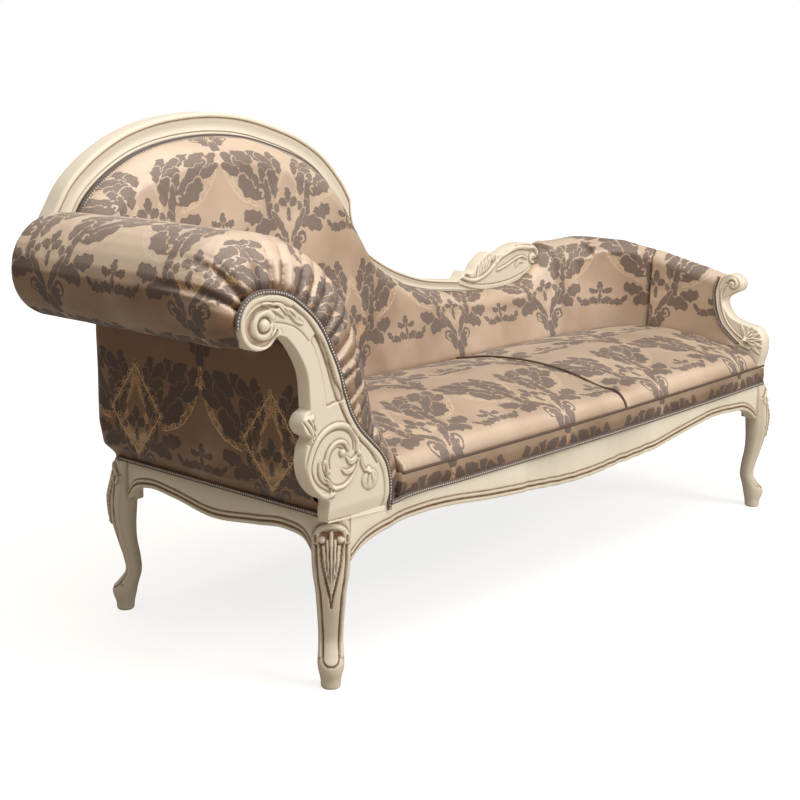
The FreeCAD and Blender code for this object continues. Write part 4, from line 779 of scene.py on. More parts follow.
def make_finishes(wood, cloth):
    damask, mottle = damask_group(cloth), mottle_group()
    FINISH["cloth"] = cloth_material("Satin damask", cloth, damask)
    FINISH["side_cloth"] = cloth_material("Satin damask of the sides", cloth, damask, True)
    FINISH["carved"] = painted_material("Ivory paint with glaze", wood, mottle, True)
    FINISH["painted"] = painted_material("Ivory paint", wood, mottle, False)
    FINISH["frame_wood"] = plain_material("Bare beech", (0.42, 0.26, 0.14), 0.6, scale=18.0)
    FINISH["steel"] = plain_material("Zinc steel", (0.55, 0.55, 0.56), 0.35, metal=1.0)
    FINISH["webbing"] = plain_material("Jute webbing", (0.33, 0.22, 0.12), 0.85, depth=0.001)
    FINISH["foam"] = plain_material("Felt over foam", (0.30, 0.20, 0.125), 0.9, depth=0.0006)
    FINISH["lining"] = plain_material("Black lining", (0.03, 0.028, 0.026), 0.9, depth=0.0006)
    FINISH["cord"] = plain_material("Brown piping", (0.11, 0.068, 0.046), 0.55, scale=300.0)
    FINISH["braid"] = braid_material("Dotted braid", (0.13, 0.10, 0.088), (0.72, 0.64, 0.54))


# Carved wood

# Sections of a leg: share of its height, then its shift outwards, half depth and half width in shares of LEG_UNIT
LEG_UNIT = 80
LEG_SECTIONS = [(0.0, 0.012, 0.237, 0.243), (0.05, 0.008, 0.256, 0.256), (0.115, 0.02, 0.33, 0.315),
                (0.145, 0.005, 0.34, 0.33), (0.19, -0.1, 0.285, 0.318), (0.255, -0.235, 0.225, 0.306),
                (0.355, -0.2, 0.235, 0.318), (0.455, -0.1, 0.262, 0.343), (0.585, -0.02, 0.33, 0.387),
                (0.65, -0.01, 0.36, 0.43), (0.72, -0.012, 0.383, 0.46), (0.825, -0.06, 0.405, 0.475),
                (0.925, -0.125, 0.375, 0.462), (1.0, -0.165, 0.335, 0.43)]


def leg_carving(spot, half):
    """Relief on a leg's outer face: spot is across and up, half the half-width of the leg at that height."""
    side = np.abs(spot[:, 0])
    cut = -3.6 * np.clip(1 - ((side - half + 8.5) / 3.0) ** 2, 0, 1)
    cut += 1.6 * np.clip(1 - ((side - half + 3.5) / 3.5) ** 2, 0, 1)
    cut = np.where((spot[:, 1] > 62) & (spot[:, 1] < 314), cut, 0)
    mirrored = np.stack([side, spot[:, 1]], 1)
    rise = cut + groove(mirrored, [(17.5, 64), (15, 56), (8, 51), (0, 50)], 3.0, 3.4)
    rise += ridge(mirrored, [(30, 300), (28, 314), (22, 325), (12, 331), (0, 333)], 5.5, 5.5, 4.2)
    sunk = np.clip(1 - (side / 26) ** 4, 0, 1) * np.clip((spot[:, 1] - 262) / 30, 0, 1)
    rise -= 4.2 * sunk * np.clip((324 - spot[:, 1]) / 5, 0, 1)
    rise += dome(mirrored, (18, 306), 7.0, 7.0)
    for line, wide, high in (([(0, 318), (0, 270), (0, 196)], 4.6, 6.4), ([(7.5, 304), (6, 266), (1.6, 202)], 3.6, 5.0),
                             ([(15, 292), (11, 258), (3.4, 210)], 3.6, 4.0)):
        rise += ridge(mirrored, line, wide, 1.0, high)
    rise += groove(mirrored, [(23, 296), (19, 262), (11, 226), (4, 196), (0, 168)], 3.0, 3.4)
    return rise


def build_leg(name, out_x, out_y, wood):
    """A carved cabriole leg and its square block; out_x and out_y say to which corner it turns."""
    centre = np.array([X_FOOT if out_x > 0 else X_HEAD, Y_BACK if out_y > 0 else Y_FRONT])
    heights = np.arange(0, Z_TOP + 0.1, Z_TOP / 190)
    table = np.array(LEG_SECTIONS)
    line = smooth_line(table * (Z_TOP, LEG_UNIT, LEG_UNIT, LEG_UNIT), 1.0)
    shift, deep, half = (np.interp(heights, line[:, 0], line[:, k]) for k in (1, 2, 3))
    count = 132
    angle = 2 * math.pi * (np.arange(count) + 0.5) / count
    along = shift[:, None] + deep[:, None] * np.cos(angle)
    across = half[:, None] * np.sin(angle)
    spot = np.stack([across.ravel(), np.repeat(heights, count)], 1)
    carve = leg_carving(spot, np.repeat(half, count)).reshape(along.shape)
    face = np.clip(np.cos(angle) * 3.2, 0, 1)
    carve = carve * face * wood.carving_depth
    foot = np.clip(1 - heights / 5.0, 0, 1)[:, None] ** 2 * 2.5
    nx, ny = np.cos(angle) / deep[:, None], np.sin(angle) / half[:, None]
    size = np.sqrt(nx ** 2 + ny ** 2)
    along = along + nx / size * (carve - foot)
    across = across + ny / size * (carve - foot)
    x = centre[0] + (out_x * along - out_y * across) / math.sqrt(2)
    y = centre[1] + (out_y * along + out_x * across) / math.sqrt(2)
    z = np.repeat(heights[:, None], count, 1)
    above = z > Z_TOP - 108
    inner_x = centre[0] + out_x * (BLOCK_OUT - BLOCK_WIDE)
    inner_y = centre[1] + out_y * (BLOCK_OUT - BLOCK_WIDE)
    x = np.where(above & (x * out_x < inner_x * out_x), inner_x, x)
    y = np.where(above & (y * out_y < inner_y * out_y), inner_y, y)
    points, faces = skin(np.stack([x, y, z], 2))
    rise = carve.ravel()
    # Glaze in the hollows, and painted shade in the glaze colour over the whole leg.
    dark = np.clip(hollow_glaze(rise, faces, (6, 1.9, 0.0), (24, 0.75, 0.0)) + LEG_PAINTED_SHADE, 0, 1)
    add_piece(name + "_carved", points, faces, FINISH["carved"], (name,), glaze=dark, sharp=55)
    outer = (centre[0] + out_x * (BLOCK_OUT - 0.3), centre[1] + out_y * (BLOCK_OUT - 0.3))
    low = np.array([min(outer[0], inner_x), min(outer[1], inner_y), Z_TOP - 92])
    high = np.array([max(outer[0], inner_x), max(outer[1], inner_y), Z_TOP])
    bpy.ops.object.select_all(action="DESELECT")
    bpy.ops.mesh.primitive_cube_add(size=1.0)
    core = bpy.context.active_object
    core.name = name + "_block"
    core.data.transform(Matrix.Translation(Vector((low + high) / 2 * MM))
                        @ Matrix.Diagonal(Vector(((high - low) * MM).tolist() + [1.0])))
    bevel = core.modifiers.new("Round", "BEVEL")
    bevel.width = 0.004
    bevel.segments = 3
    pick(core)
    bpy.ops.object.modifier_apply(modifier="Round")
    dress(core, FINISH["painted"])


# Size of the post, and the middle and radius of its volute
POST_WIDE, POST_TALL = 386.0, 453.0
VOLUTE_X, VOLUTE_Z, VOLUTE_RADIUS = -910, 748, 49
# Outer and inner edge of the post, from its right foot, in shares of its size
POST_EDGE = [(0.0, -0.02), (0.0, 0.13), (0.022, 0.19), (0.057, 0.237), (0.132, 0.299), (0.218, 0.369),
             (0.28, 0.442), (0.326, 0.527), (0.375, 0.65), (0.43, 0.741), (0.474, 0.808),
             (0.529, 0.867), (0.606, 0.923), (0.681, 0.965), (0.754, 0.988), (0.82, 0.997)]
POST_INNER = [(0.764, 0.826), (0.72, 0.818), (0.668, 0.78), (0.617, 0.722), (0.577, 0.655), (0.56, 0.56), (0.556, 0.5),
              (0.6, 0.482), (0.62, 0.455), (0.604, 0.415), (0.553, 0.383), (0.585, 0.33), (0.592, 0.275),
              (0.58, 0.225), (0.54, 0.165), (0.479, 0.117), (0.428, 0.093), (0.43, 0.045), (0.424, 0.0)]


def post_places(shares):
    return np.array([(X_POST_RIGHT - a * POST_WIDE, Z_TOP + b * POST_TALL) for a, b in shares])


def post_edge(last_degrees):
    """The outer edge of the post, from its foot up and round the volute."""
    turn = np.radians(np.arange(112, last_degrees, 6.0))
    ring = np.stack([VOLUTE_X + VOLUTE_RADIUS * np.cos(turn), VOLUTE_Z + VOLUTE_RADIUS * np.sin(turn)], 1)
    return np.vstack([smooth_line(post_places(POST_EDGE), 3.0), ring])


def post_outline():
    inner = post_places(POST_INNER)
    neck = smooth_line(inner[:7], 3.0)
    tuft = smooth_line(inner[6:11], 3.0)
    scroll = smooth_line(inner[10:], 3.0)
    return np.vstack([post_edge(326), neck, tuft[1:], scroll[1:]])


# Lines of the relief on the post, across and up
POST_RIM_GROOVE = [(-832, 770), (-796, 743), (-765, 702), (-742, 656), (-723, 606), (-703, 560), (-683, 528),
                   (-655, 495), (-626, 468), (-605, 440)]
POST_CRESCENT = [(-868, 772), (-894, 775), (-920, 767), (-936, 749), (-934, 729), (-917, 715), (-896, 711),
                 (-879, 718), (-869, 731)]
POST_PANEL = [(-785, 702), (-777, 689), (-762, 652), (-752, 617), (-746, 584), (-744, 573), (-722, 575), (-703, 577),
              (-722, 626), (-744, 678), (-756, 699), (-770, 713)]
POST_RING = [(-661, 470), (-662, 494), (-676, 517), (-703, 531), (-737, 531), (-767, 514), (-785, 487), (-792, 460),
             (-784, 434), (-766, 413), (-745, 401), (-729, 402)]
POST_RING_INNER = [(-672, 478), (-673, 494), (-684, 511), (-706, 522), (-735, 521), (-761, 506), (-776, 483),
                   (-782, 460), (-775, 438), (-760, 422), (-742, 411)]
# Cuts of the carver, each with its path or centre and its sizes
VOLUTE_CUTS = [
    (ridge, spiral((-901, 743), 25.0, 18.5, 30, 330, 40), 5.5, 4.5, 2.6),
    (groove, spiral((-900, 743), 15.0, 12.5, 10, 310, 40), 2.8, 5.0),
    (dome, (-899, 743), 11.5, 6.0)]
POST_CUTS = [
    (petal_leaf, [(-906, 783), (-888, 778), (-870, 768), (-852, 753)], 6.0, 4.0),
    (petal_leaf, [(-876, 780), (-862, 775), (-850, 764), (-842, 756)], 4.5, 4.0),
    (petal_leaf, [(-852, 771), (-836, 758), (-820, 742), (-806, 735)], 5.5, 4.0),
    (petal_leaf, [(-842, 768), (-828, 758), (-816, 748)], 4.0, 3.5),
    (groove, [(-872, 746), (-846, 740), (-820, 729), (-803, 716), (-790, 702)], 2.6, 1.6),
    (ridge, POST_RING, 5.5, 6.0, 4.2),
    (groove, POST_RING_INNER, 2.8, 2.6),
    (ridge, [(-748, 448), (-748, 470), (-738, 490), (-716, 501), (-696, 495), (-688, 483)], 3.0, 4.6, 5.0),
    (groove, [(-735, 452), (-736, 470), (-728, 484), (-714, 490), (-702, 484)], 2.6, 2.6),
    (dome, (-703, 478), 8.0, 6.5),
    (ridge, [(-748, 450), (-742, 428), (-722, 413), (-698, 413), (-677, 426), (-663, 446), (-658, 466)], 5.4, 3.0, 5.0),
    (petal_leaf, [(-736, 424), (-752, 434), (-762, 450), (-764, 470)], 6.0, 5.4),
    (petal_leaf, [(-740, 436), (-750, 448), (-752, 472)], 5.0, 5.0),
    (petal_leaf, [(-704, 446), (-692, 438), (-678, 440), (-668, 448)], 5.0, 5.0),
    (petal_leaf, [(-692, 468), (-680, 456), (-668, 460), (-660, 474)], 6.0, 5.4),
    (petal_leaf, [(-732, 418), (-732, 406), (-740, 399)], 5.0, 4.6),
    (petal_leaf, [(-728, 416), (-724, 404), (-728, 396)], 4.0, 4.4),
    (ridge, [(-660, 470), (-652, 456), (-647, 442), (-640, 432), (-632, 428)], 2.6, 3.0, 3.4)]
TUFT_CUTS = [
    (groove, [(-812, 540), (-804, 526), (-790, 508)], 2.2, 3.4),
    (groove, [(-808, 554), (-796, 540), (-780, 514)], 2.2, 3.4),
    (groove, [(-796, 556), (-786, 544), (-774, 522)], 2.2, 3.4),
    (groove, [(-784, 554), (-778, 544), (-772, 532)], 2.2, 3.4)]


def carve(rise, p, cuts):
    """The height of the face after a list of cuts, in their order."""
    for cut, *sizes in cuts:
        rise = rise + cut(p, *sizes)
    return rise


def post_carving(p):
    """Relief on the face of the head arm's post."""
    edge = smooth_line(post_edge(340)[::4].tolist() + [(-872, 722)], 3.0)
    far, _ = nearest(p, edge)
    rise = 3.0 * np.sqrt(np.clip(1 - ((far - 5.5) / 6.5) ** 2, 0, 1))
    rise = np.where(far < 5.5, 3.0, rise)
    rise += groove(p, POST_RIM_GROOVE, 3.2, 2.8)
    crescent = smooth_line(POST_CRESCENT, 2.0)
    near, along = nearest(p, crescent)
    width = 2.6 + 5.0 * np.sin(math.pi * np.clip(along / length_of(crescent), 0, 1)) ** 0.8
    rise -= 7.0 * np.sqrt(np.clip(1 - (near / width) ** 2, 0, 1))
    rise = carve(rise, p, VOLUTE_CUTS)
    panel = smooth_line(POST_PANEL, 3.0, closed=True)
    depth, _ = nearest(p, panel)
    rise -= 5.0 * np.where(inside(p, panel), np.clip(depth / 1.4, 0, 1), 0)
    rise = carve(rise, p, POST_CUTS)
    oval = 1 - ((p[:, 0] + 626) / 22) ** 2 - ((p[:, 1] - 411) / 20) ** 2
    ribs = np.cos(np.arctan2(p[:, 0] + 630, 440 - p[:, 1]) * 15)
    rise += (5.5 + 1.5 * ribs) * np.sqrt(np.clip(oval, 0, 1))
    rise += dome(p, (-630, 431), 7.0, 5.0)
    tuft = np.clip((-776 - p[:, 0]) / 6, 0, 1) * np.clip((p[:, 1] - 508) / 6, 0, 1)
    rise += 5.0 * (tuft * np.clip((566 - p[:, 1]) / 8, 0, 1))
    rise = carve(rise, p, TUFT_CUTS)
    return rise - 8.0 * np.clip((374 - p[:, 1]) / 28, 0, 1.4) ** 1.6


def build_post(wood):
    def place(u, v, w):
        return np.stack([u, -344.0 - w, v], 1)

    relief("head_arm_post_carved", "head_arm_post", post_outline(), 1.25,
           lambda p: post_carving(p) * wood.carving_depth, place, depth=30.0, aged=0.75)


# Outer line of the arch, and the upper and lower lines of the sweep
ARCH = [(-899, 869), (-878, 906), (-852, 945), (-813, 982), (-763, 1016), (-711, 1042), (-631, 1066), (-549, 1078),
        (-465, 1081), (-376, 1073), (-285, 1051), (-189, 1017), (-123, 980), (-73, 936), (-37, 894), (-23, 871)]
SWEEP = [(-23, 871), (-19, 828), (-5, 791), (28, 744), (91, 703), (167, 671), (245, 648), (326, 635), (388, 628),
         (465, 617), (585, 617), (650, 630), (695, 652), (717, 688)]
SWEEP_INNER = [(-51, 822), (-35, 775), (3, 722), (73, 676), (155, 640), (237, 617), (321, 604), (385, 597), (465, 587),
               (587, 586), (659, 597), (719, 624), (751, 680)]
# Profile across a moulding: share of its width from the outer edge, how far it stands proud, and glaze
MOULDING = [(0.0, -3.0, 0), (0.02, 0.5, 0), (0.06, 3.0, 0), (0.12, 4.0, 0), (0.17, 3.4, 0), (0.2, 1.6, 0.7),
            (0.225, 0.6, 0.9), (0.25, 1.4, 0.5), (0.3, 1.2, 0), (0.4, -0.8, 0), (0.52, -2.0, 0), (0.64, -1.6, 0),
            (0.72, -0.2, 0), (0.765, 0.6, 0), (0.785, -0.8, 0.7), (0.81, -0.6, 0.7), (0.84, 1.6, 0), (0.89, 2.8, 0),
            (0.94, 2.2, 0), (0.975, 0.6, 0), (1.0, -3.0, 0)]


def inward(line, distance):
    """The line moved to the right of its run by a distance."""
    along = directions(line)
    return line + np.stack([along[:, 1], -along[:, 0]], 1) * distance


MOULDING_FRONT, MOULDING_BACK = 275.5, 315.0


def moulding_rings(outer, inner):
    """Rings of a moulding between two lines of equal count, and the glaze on them."""
    rows, dark = [], []
    for o, i in zip(outer, inner):
        ring = [(o[0] + (i[0] - o[0]) * s, MOULDING_FRONT - h, o[1] + (i[1] - o[1]) * s) for s, h, _ in MOULDING]
        ring += [(i[0], MOULDING_BACK, i[1]), (o[0], MOULDING_BACK, o[1])]
        rows.append(ring)
        dark += [g for _, _, g in MOULDING] + [0, 0]
    return np.array(rows), dark


def build_back_frame():
    arch = smooth_line([(-899, 705), (-899, 760), (-899, 820)] + ARCH, 6.0)
    inner = inward(arch, 50.0)
    inner[:, 0] = np.minimum(inner[:, 0], -51)
    inner[-1] = (-51, 822)
    inner = even_line(smooth_line(inner[::6].tolist() + [(-51, 822)], 6.0), count=len(arch))
    moulded("back_frame_arch", *moulding_rings(arch, inner), "back_frame", 60)
    sweep = smooth_line(SWEEP, 5.0)
    lower = even_line(smooth_line(SWEEP_INNER, 5.0), count=len(sweep))
    moulded("back_frame_sweep", *moulding_rings(sweep, lower), "back_frame", 60)
    edge = smooth_line(np.vstack([inner[8:], lower[2:]]), 3.0)
    path = np.stack([edge[:, 0], np.full(len(edge), 267.0), edge[:, 1]], 1)
    braid("arch_braid", "arch_gimp", path, (0, -1, 0), 13.0, 6.0, aside=1.5)


# Outline of the crest, and the cuts of its relief
CREST_TOP = [(392, 628), (401, 636), (417, 650), (440, 642), (456, 644), (472, 663), (498, 680), (523, 691), (554, 684),
             (581, 687), (607, 697), (634, 703), (671, 704), (709, 700), (737, 687), (752, 668)]
CREST_BASE = [(751, 650), (738, 628), (708, 612), (660, 600), (590, 592), (500, 592), (430, 606), (396, 618)]


CREST_CUTS = [
    (ridge, [(402, 636), (425, 628), (455, 622), (492, 628), (528, 645), (560, 668), (600, 684), (650, 694),
             (700, 690)], 5.0, 6.5, 6.0),
    (ridge, spiral((717, 662), 30.0, 6.0, 118, -470, 60), 6.0, 4.5, 6.5),
    (dome, (717, 662), 7.5, 7.0),
    (petal_leaf, [(404, 634), (414, 644), (428, 646), (440, 636)], 6.0, 5.0)]
CREST_CUTS += [
    (petal_leaf, [(470 + 9 * k, 628 + 3 * k), (478 + 11 * k, 648 + 4 * k), (480 + 15 * k, 670 + 4 * k)], 6.0, 5.0)
    for k in range(5)]
CREST_CUTS += [
    (petal_leaf, [(548, 660), (560, 678), (578, 684)], 6.0, 4.5),
    (petal_leaf, [(590, 680), (612, 692), (640, 698)], 5.5, 4.0),
    (ridge, [(560, 640), (600, 650), (640, 664), (672, 668), (690, 660)], 4.0, 3.0, 4.0),
    (petal_leaf, [(640, 640), (655, 655), (676, 652)], 6.0, 4.0)]


def crest_carving(p):
    """Relief on the face of the crest."""
    rise = carve(0.0, p, CREST_CUTS)
    rise -= 5.0 * np.clip(1 - (np.linalg.norm(p - (534, 662), axis=1) / 10) ** 4, 0, 1)
    return rise + groove(p, [(430, 616), (500, 606), (590, 606), (655, 616), (700, 632), (730, 660)], 2.2, 2.2)


def build_crest(wood):
    outline = np.vstack([smooth_line(CREST_TOP, 3.0), smooth_line(CREST_BASE, 3.0)])

    def place(u, v, w):
        return np.stack([u, 271.0 - w, v], 1)

    relief("back_crest_carved", "back_crest", outline, 1.4, lambda p: crest_carving(p) * wood.carving_depth, place,
           depth=34.0, aged=0.7)


# Outline of the post at the foot end, as depth and height, and the cuts of its relief
FOOT_REAR = [(-298, 446), (-268, 456), (-252, 467), (-232, 484), (-212, 504), (-198, 533), (-190, 565), (-188, 592),
             (-201, 632)]
FOOT_TOP = [(-201, 632), (-216, 639), (-237, 640), (-256, 630), (-263, 613), (-255, 597), (-240, 590), (-226, 582),
            (-216, 575), (-212, 563), (-219, 545), (-233, 527), (-255, 516), (-276, 510), (-294, 507), (-311, 504),
            (-326, 493), (-335, 476), (-338, 455), (-335, 430), (-328, 404), (-324, 376), (-320, 348)]


FOOT_HEART = np.array((-286.0, 470.0))
FOOT_CUTS = [
    (ridge, FOOT_REAR, 5.0, 5.5, 4.0),
    (ridge, [(-290, 466), (-268, 476), (-246, 491), (-227, 511), (-213, 540), (-207, 566), (-206, 590), (-216, 610)],
     3.0, 3.0, 3.6),
    (groove, [(-294, 459), (-270, 469), (-248, 484), (-228, 503), (-210, 534), (-200, 564), (-198, 592)], 2.2, 2.6),
    (ridge, spiral((-238, 615), 19.0, 5.0, 20, 420, 50), 4.4, 3.4, 5.0),
    (dome, (-238, 615), 7.0, 7.0)]
FOOT_CUTS += [
    (petal_leaf, [FOOT_HEART, (FOOT_HEART + np.array(tip, float)) / 2, np.array(tip, float)], 6.4, 5.0)
    for tip in ((-272, 506), (-293, 505), (-311, 501), (-325, 490), (-333, 474), (-335, 455), (-330, 436))]
FOOT_CUTS += [(dome, FOOT_HEART, 8.0, 5.0)]


def build_foot_post(wood):
    outline = np.vstack([[(-258, 440)], smooth_line(FOOT_REAR[1:], 2.5), smooth_line(FOOT_TOP, 2.5)[1:],
                         [(-258, 348)]])

    def place(u, v, w):
        return np.stack([943.0 - w, u, v], 1)

    relief("foot_arm_post_carved", "foot_arm_post", outline, 1.3,
           lambda p: carve(0.0, p, FOOT_CUTS) * wood.carving_depth, place, depth=40.0, aged=0.45, both=True)


# Profile of a rail from its lower edge up: height above the edge, how far it stands proud, and glaze
RAIL_PROFILE = [(0.0, -3.0, 0), (1.2, 0.4, 0), (4.0, 2.2, 0), (7.6, 2.2, 0), (9.0, 0.4, 0.7), (10.0, -1.2, 1),
                (12.2, -1.2, 1), (13.4, 0.6, 0.6), (15.2, 2.4, 0), (18.2, 2.6, 0), (19.8, 0.6, 0.6), (20.8, -0.6, 0.9),
                (22.6, -0.4, 0.7), (24.2, 0.4, 0), (26.0, 0.4, 0)]


def rail_rings(places, lower, thick, out):
    """Rings of a rail and the glaze on them: places are the points along its face, lower its lower edge there."""
    rows, dark = [], []
    for place, low in zip(places, lower):
        ring = []
        for up, proud, _ in RAIL_PROFILE:
            ring.append((place[0] + out[0] * proud, place[1] + out[1] * proud, low + up))
        ring.append((place[0] + out[0] * 0.4, place[1] + out[1] * 0.4, Z_TOP - 1.0))
        ring.append((place[0] - out[0] * 0.6, place[1] - out[1] * 0.6, Z_TOP))
        ring.append((place[0] - out[0] * thick, place[1] - out[1] * thick, Z_TOP))
        ring.append((place[0] - out[0] * thick, place[1] - out[1] * thick, low + 1.0))
        rows.append(ring)
        dark += [g for _, _, g in RAIL_PROFILE] + [0, 0, 0, 0]
    return np.array(rows), dark


def lower_edge(node, along, places):
    """Height of a node's lower edge at places along one axis, read from the structural model and evened out."""
    points = vertices_of(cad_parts[node].data)
    points = points[points[:, 2] < Z_TOP - 20]
    found = {}
    for value, z in zip(np.round(points[:, along], 0), points[:, 2]):
        found[value] = min(found.get(value, 1e9), z)
    keys = np.array(sorted(found))
    fine = np.arange(places.min(), places.max() + 1)
    low = np.interp(fine, keys, np.array([found[k] for k in keys]))
    for pick_one, reach in ((np.min, 16), (np.max, 16), (np.mean, 9)):
        padded = np.pad(low, reach, mode="edge")
        low = pick_one(np.lib.stride_tricks.sliding_window_view(padded, 2 * reach + 1), axis=1)
    from_end = np.clip(np.minimum(fine - fine[0], fine[-1] - fine), 0, 200) / 200
    spacing = 22 + 110 * from_end
    stops = np.searchsorted(np.cumsum(1 / spacing), np.arange(200)).clip(0, len(fine) - 1)
    stops = np.unique(np.append(stops, len(fine) - 1))
    curve = smooth_line(np.stack([fine[stops], low[stops]], 1), 4.0)
    return np.interp(places, curve[:, 0], curve[:, 1])


def build_rails():
    groups = stations("front_rail", 4.0)
    face = np.array([(g[:, 0].mean(), g[:, 1].min() + 2.5) for g in groups])
    x = np.arange(-670.0, 947.1, 7.0)
    y = np.interp(x, face[:, 0], face[:, 1])
    y = np.convolve(np.pad(y, 9, mode="edge"), np.ones(19) / 19, "valid")
    swell = np.clip((-515 - x) / 55, 0, 1)
    y = y - 9.0 * swell * swell * (3 - 2 * swell)
    rings, dark = rail_rings(np.stack([x, y], 1), lower_edge("front_rail", 0, x), 26.0, (0, -1))
    moulded("front_rail_moulded", rings, dark, "front_rail", 50)
    for node, face_x, out in (("head_rail", -713.7, -1), ("foot_rail", 990.7, 1)):
        y = np.arange(-283.0, 283.1, 6.0)
        rings, dark = rail_rings(np.stack([np.full(len(y), face_x), y], 1), lower_edge(node, 1, y), 25.0, (out, 0))
        moulded(node + "_moulded", rings, dark, node, 50)


# Upholstery

# Line round the roll and the inner face of the head arm, seen from the front
ARM_CONTOUR = [(-502, 347), (-493, 405), (-505, 440), (-535, 492), (-557, 548), (-567, 580), (-577, 615), (-595, 662),
               (-619, 708), (-653, 760), (-695, 808), (-760, 858), (-835, 890), (-911, 898), (-985, 866), (-1012, 800),
               (-1000, 745), (-965, 709), (-911, 694), (-875, 700)]


def arm_edge():
    """The line of the braid on the arm, just outside the post's edge."""
    return inward(smooth_line(post_edge(196)[::3], 6.0), 4.6)


def build_arm_pad(cloth):
    """The roll and inner face of the head arm, with folds that gather at the braid."""
    obj = soft_copy("head_arm_cushion", ["head_arm_pad"], 4.0, 5)
    p, n = vertices_of(obj.data), normals_of(obj.data)
    contour = smooth_line(ARM_CONTOUR[::-1], 6.0)
    flat = p[:, [0, 2]]
    far, along = nearest(flat, contour)
    gimp_far, gimp_along = nearest(flat, arm_edge())
    front = np.clip((-165 - p[:, 1]) / 130, 0, 1) ** 1.2
    near_braid = np.clip(1.3 - gimp_far / 110, 0, 1)
    creases = np.cumsum([31 + 9 * math.sin(k * 2.3) for k in range(60)])
    which = np.clip(np.searchsorted(creases, gimp_along), 1, len(creases) - 1)
    away = np.minimum(np.abs(gimp_along - creases[which - 1]), np.abs(gimp_along - creases[which]))
    strong = 0.6 + 0.4 * np.sin(which * 1.9)
    round_volute = 0.3 + 0.7 * np.clip((gimp_along - 250) / 120, 0, 1)
    fold = np.exp(-(away / 6.0) ** 2) * strong * front * near_braid * round_volute
    pleat = 2.0 * front * near_braid * round_volute - 11.0 * fold
    puff = cloth.fullness * (waver(p, 130, 2.6, 1) + waver(p, 55, 0.8, 2))
    p = p + n * (pleat + puff)[:, None]
    p[:, 1] += 17.0 * np.clip((p[:, 1] - 110) / 50, 0, 1) * np.clip((p[:, 2] - 520) / 60, 0, 1)
    move_vertices(obj.data, p)
    rows = -(p[:, 1] - 0.9 * np.clip(far, 0, 120) * np.clip(-n[:, 1], 0, 1)) * MM
    set_uv(obj.data, np.stack([rows + 0.124, along * MM - 0.262], 1))
    dress(obj, FINISH["cloth"], ("head_arm_pad",))
    n = normals_of(obj.data)
    # Painted light and shade on the roll: paler where it turns up, darker in the folds and where it turns towards the
    # seat.
    set_painted_light(obj, 0.06, 0.12, 0.9 * np.clip(n[:, 2], 0, 1) - 0.6 * fold - 0.5 * np.clip(n[:, 0], 0, 1))


def build_pad(name, nodes, rounds, uv, seed, depth=2.4, finish="cloth", facing=(0.66, 0.6), shape=None,
              light_shift=0.0):
    """A stuffed piece: a softened copy of its nodes, made slightly uneven, shaped and covered. The facing values and
    the shift after them set its painted light and shade.
    """
    obj = soft_copy(name, nodes, COVER_VOXEL, rounds)
    p, n = vertices_of(obj.data), normals_of(obj.data)
    p = p + n * waver(p, 120, depth, seed)[:, None]
    if shape:
        p = shape(p, n, [tuple(f.vertices) for f in obj.data.polygons])
    move_vertices(obj.data, p)
    set_uv(obj.data, uv(p, n))
    dress(obj, FINISH[finish], nodes)
    set_painted_light(obj, *facing, light_shift(p) if callable(light_shift) else light_shift)


def round_bend(p, n, faces):
    """The cloth filled out where the back turns into the end, so that it runs round in one sweep."""
    spoke = p[:, :2] - (BEND_X, BEND_Y)
    far = np.linalg.norm(spoke, axis=1)
    turn = (spoke[:, 0] > 0) & (spoke[:, 1] > 0) & (p[:, 0] < 958) & (p[:, 1] < 262) & (far > BEND_RADIUS)
    lean = 9.0 * np.clip((p[:, 2] - 430) / 150, 0, 1)
    goal = BEND_RADIUS + lean + 0.04 * (far - BEND_RADIUS)
    share = np.where(turn, 1 - np.clip((n[:, 2] - 0.25) / 0.4, 0, 1), 0)
    moved = p.copy()
    to_braid = 2.0 * np.clip((p[:, 1] - 205) / 45, 0, 1) * (n[:, 2] > -0.2) * (p[:, 0] < 765)
    moved[:, 0] += to_braid * n[:, 0]
    moved[:, 2] += to_braid * n[:, 2]
    moved[:, :2] += spoke * (share * (np.minimum(goal, far) / np.maximum(far, 1) - 1))[:, None]
    even = np.stack([settled(moved[:, k], faces, 40) for k in range(3)], 1)
    weight = np.exp(-(np.abs(far - 115) / 60) ** 4) * np.clip((p[:, 0] - 800) / 40, 0, 1) * (p[:, 1] > 20)
    weight *= np.clip((652 - p[:, 2]) / 40, 0, 1) * (p[:, 0] < 962)
    return moved + weight[:, None] * (even - moved)


def seat_front(p, *_):
    """The front edge of the seat brought out to the piping, and its corner at the head to the post."""
    line = piping_line()
    edge = np.interp(p[:, 0], line[:, 0], line[:, 1]) + 1.0
    cells = np.clip(((p[:, 0] + 520) / 20).astype(int), 0, 80)
    low = np.full(81, 1e9)
    np.minimum.at(low, cells, p[:, 1])
    reach = np.clip(1 - (p[:, 1] - low[cells]) / 70, 0, 1) ** 1.5
    moved = p.copy()
    moved[:, 1] += (edge - low[cells]) * reach
    moved[:, 0] -= CORNER_TOP * np.clip(1 - (p[:, 0] + 489) / 80, 0, 1) * np.clip((-100 - p[:, 1]) / 90, 0, 1)
    return moved


# Places on the cloth, in metres, from the points and normals of a piece

def upright_cloth(p, n):
    """Cloth on a back pad: the pattern runs along X and rises with Z."""
    over = np.clip(p[:, 1] - 178.0, 0, 200) * np.clip(n[:, 2], 0, 1)
    return np.stack([(p[:, 0] - BACK_START_X) * MM, (p[:, 2] - BACK_START_Z + over) * MM], 1)


def seat_cloth(p, n):
    """Cloth on the seat: the pattern runs along X and rises towards the back, over the front nose."""
    drop = np.clip(400 - p[:, 2], 0, 60) * np.clip(-n[:, 1], 0, 1)
    return np.stack([(p[:, 0] - SEAT_START_X) * MM, (p[:, 1] - SEAT_START_Y - drop) * MM], 1)


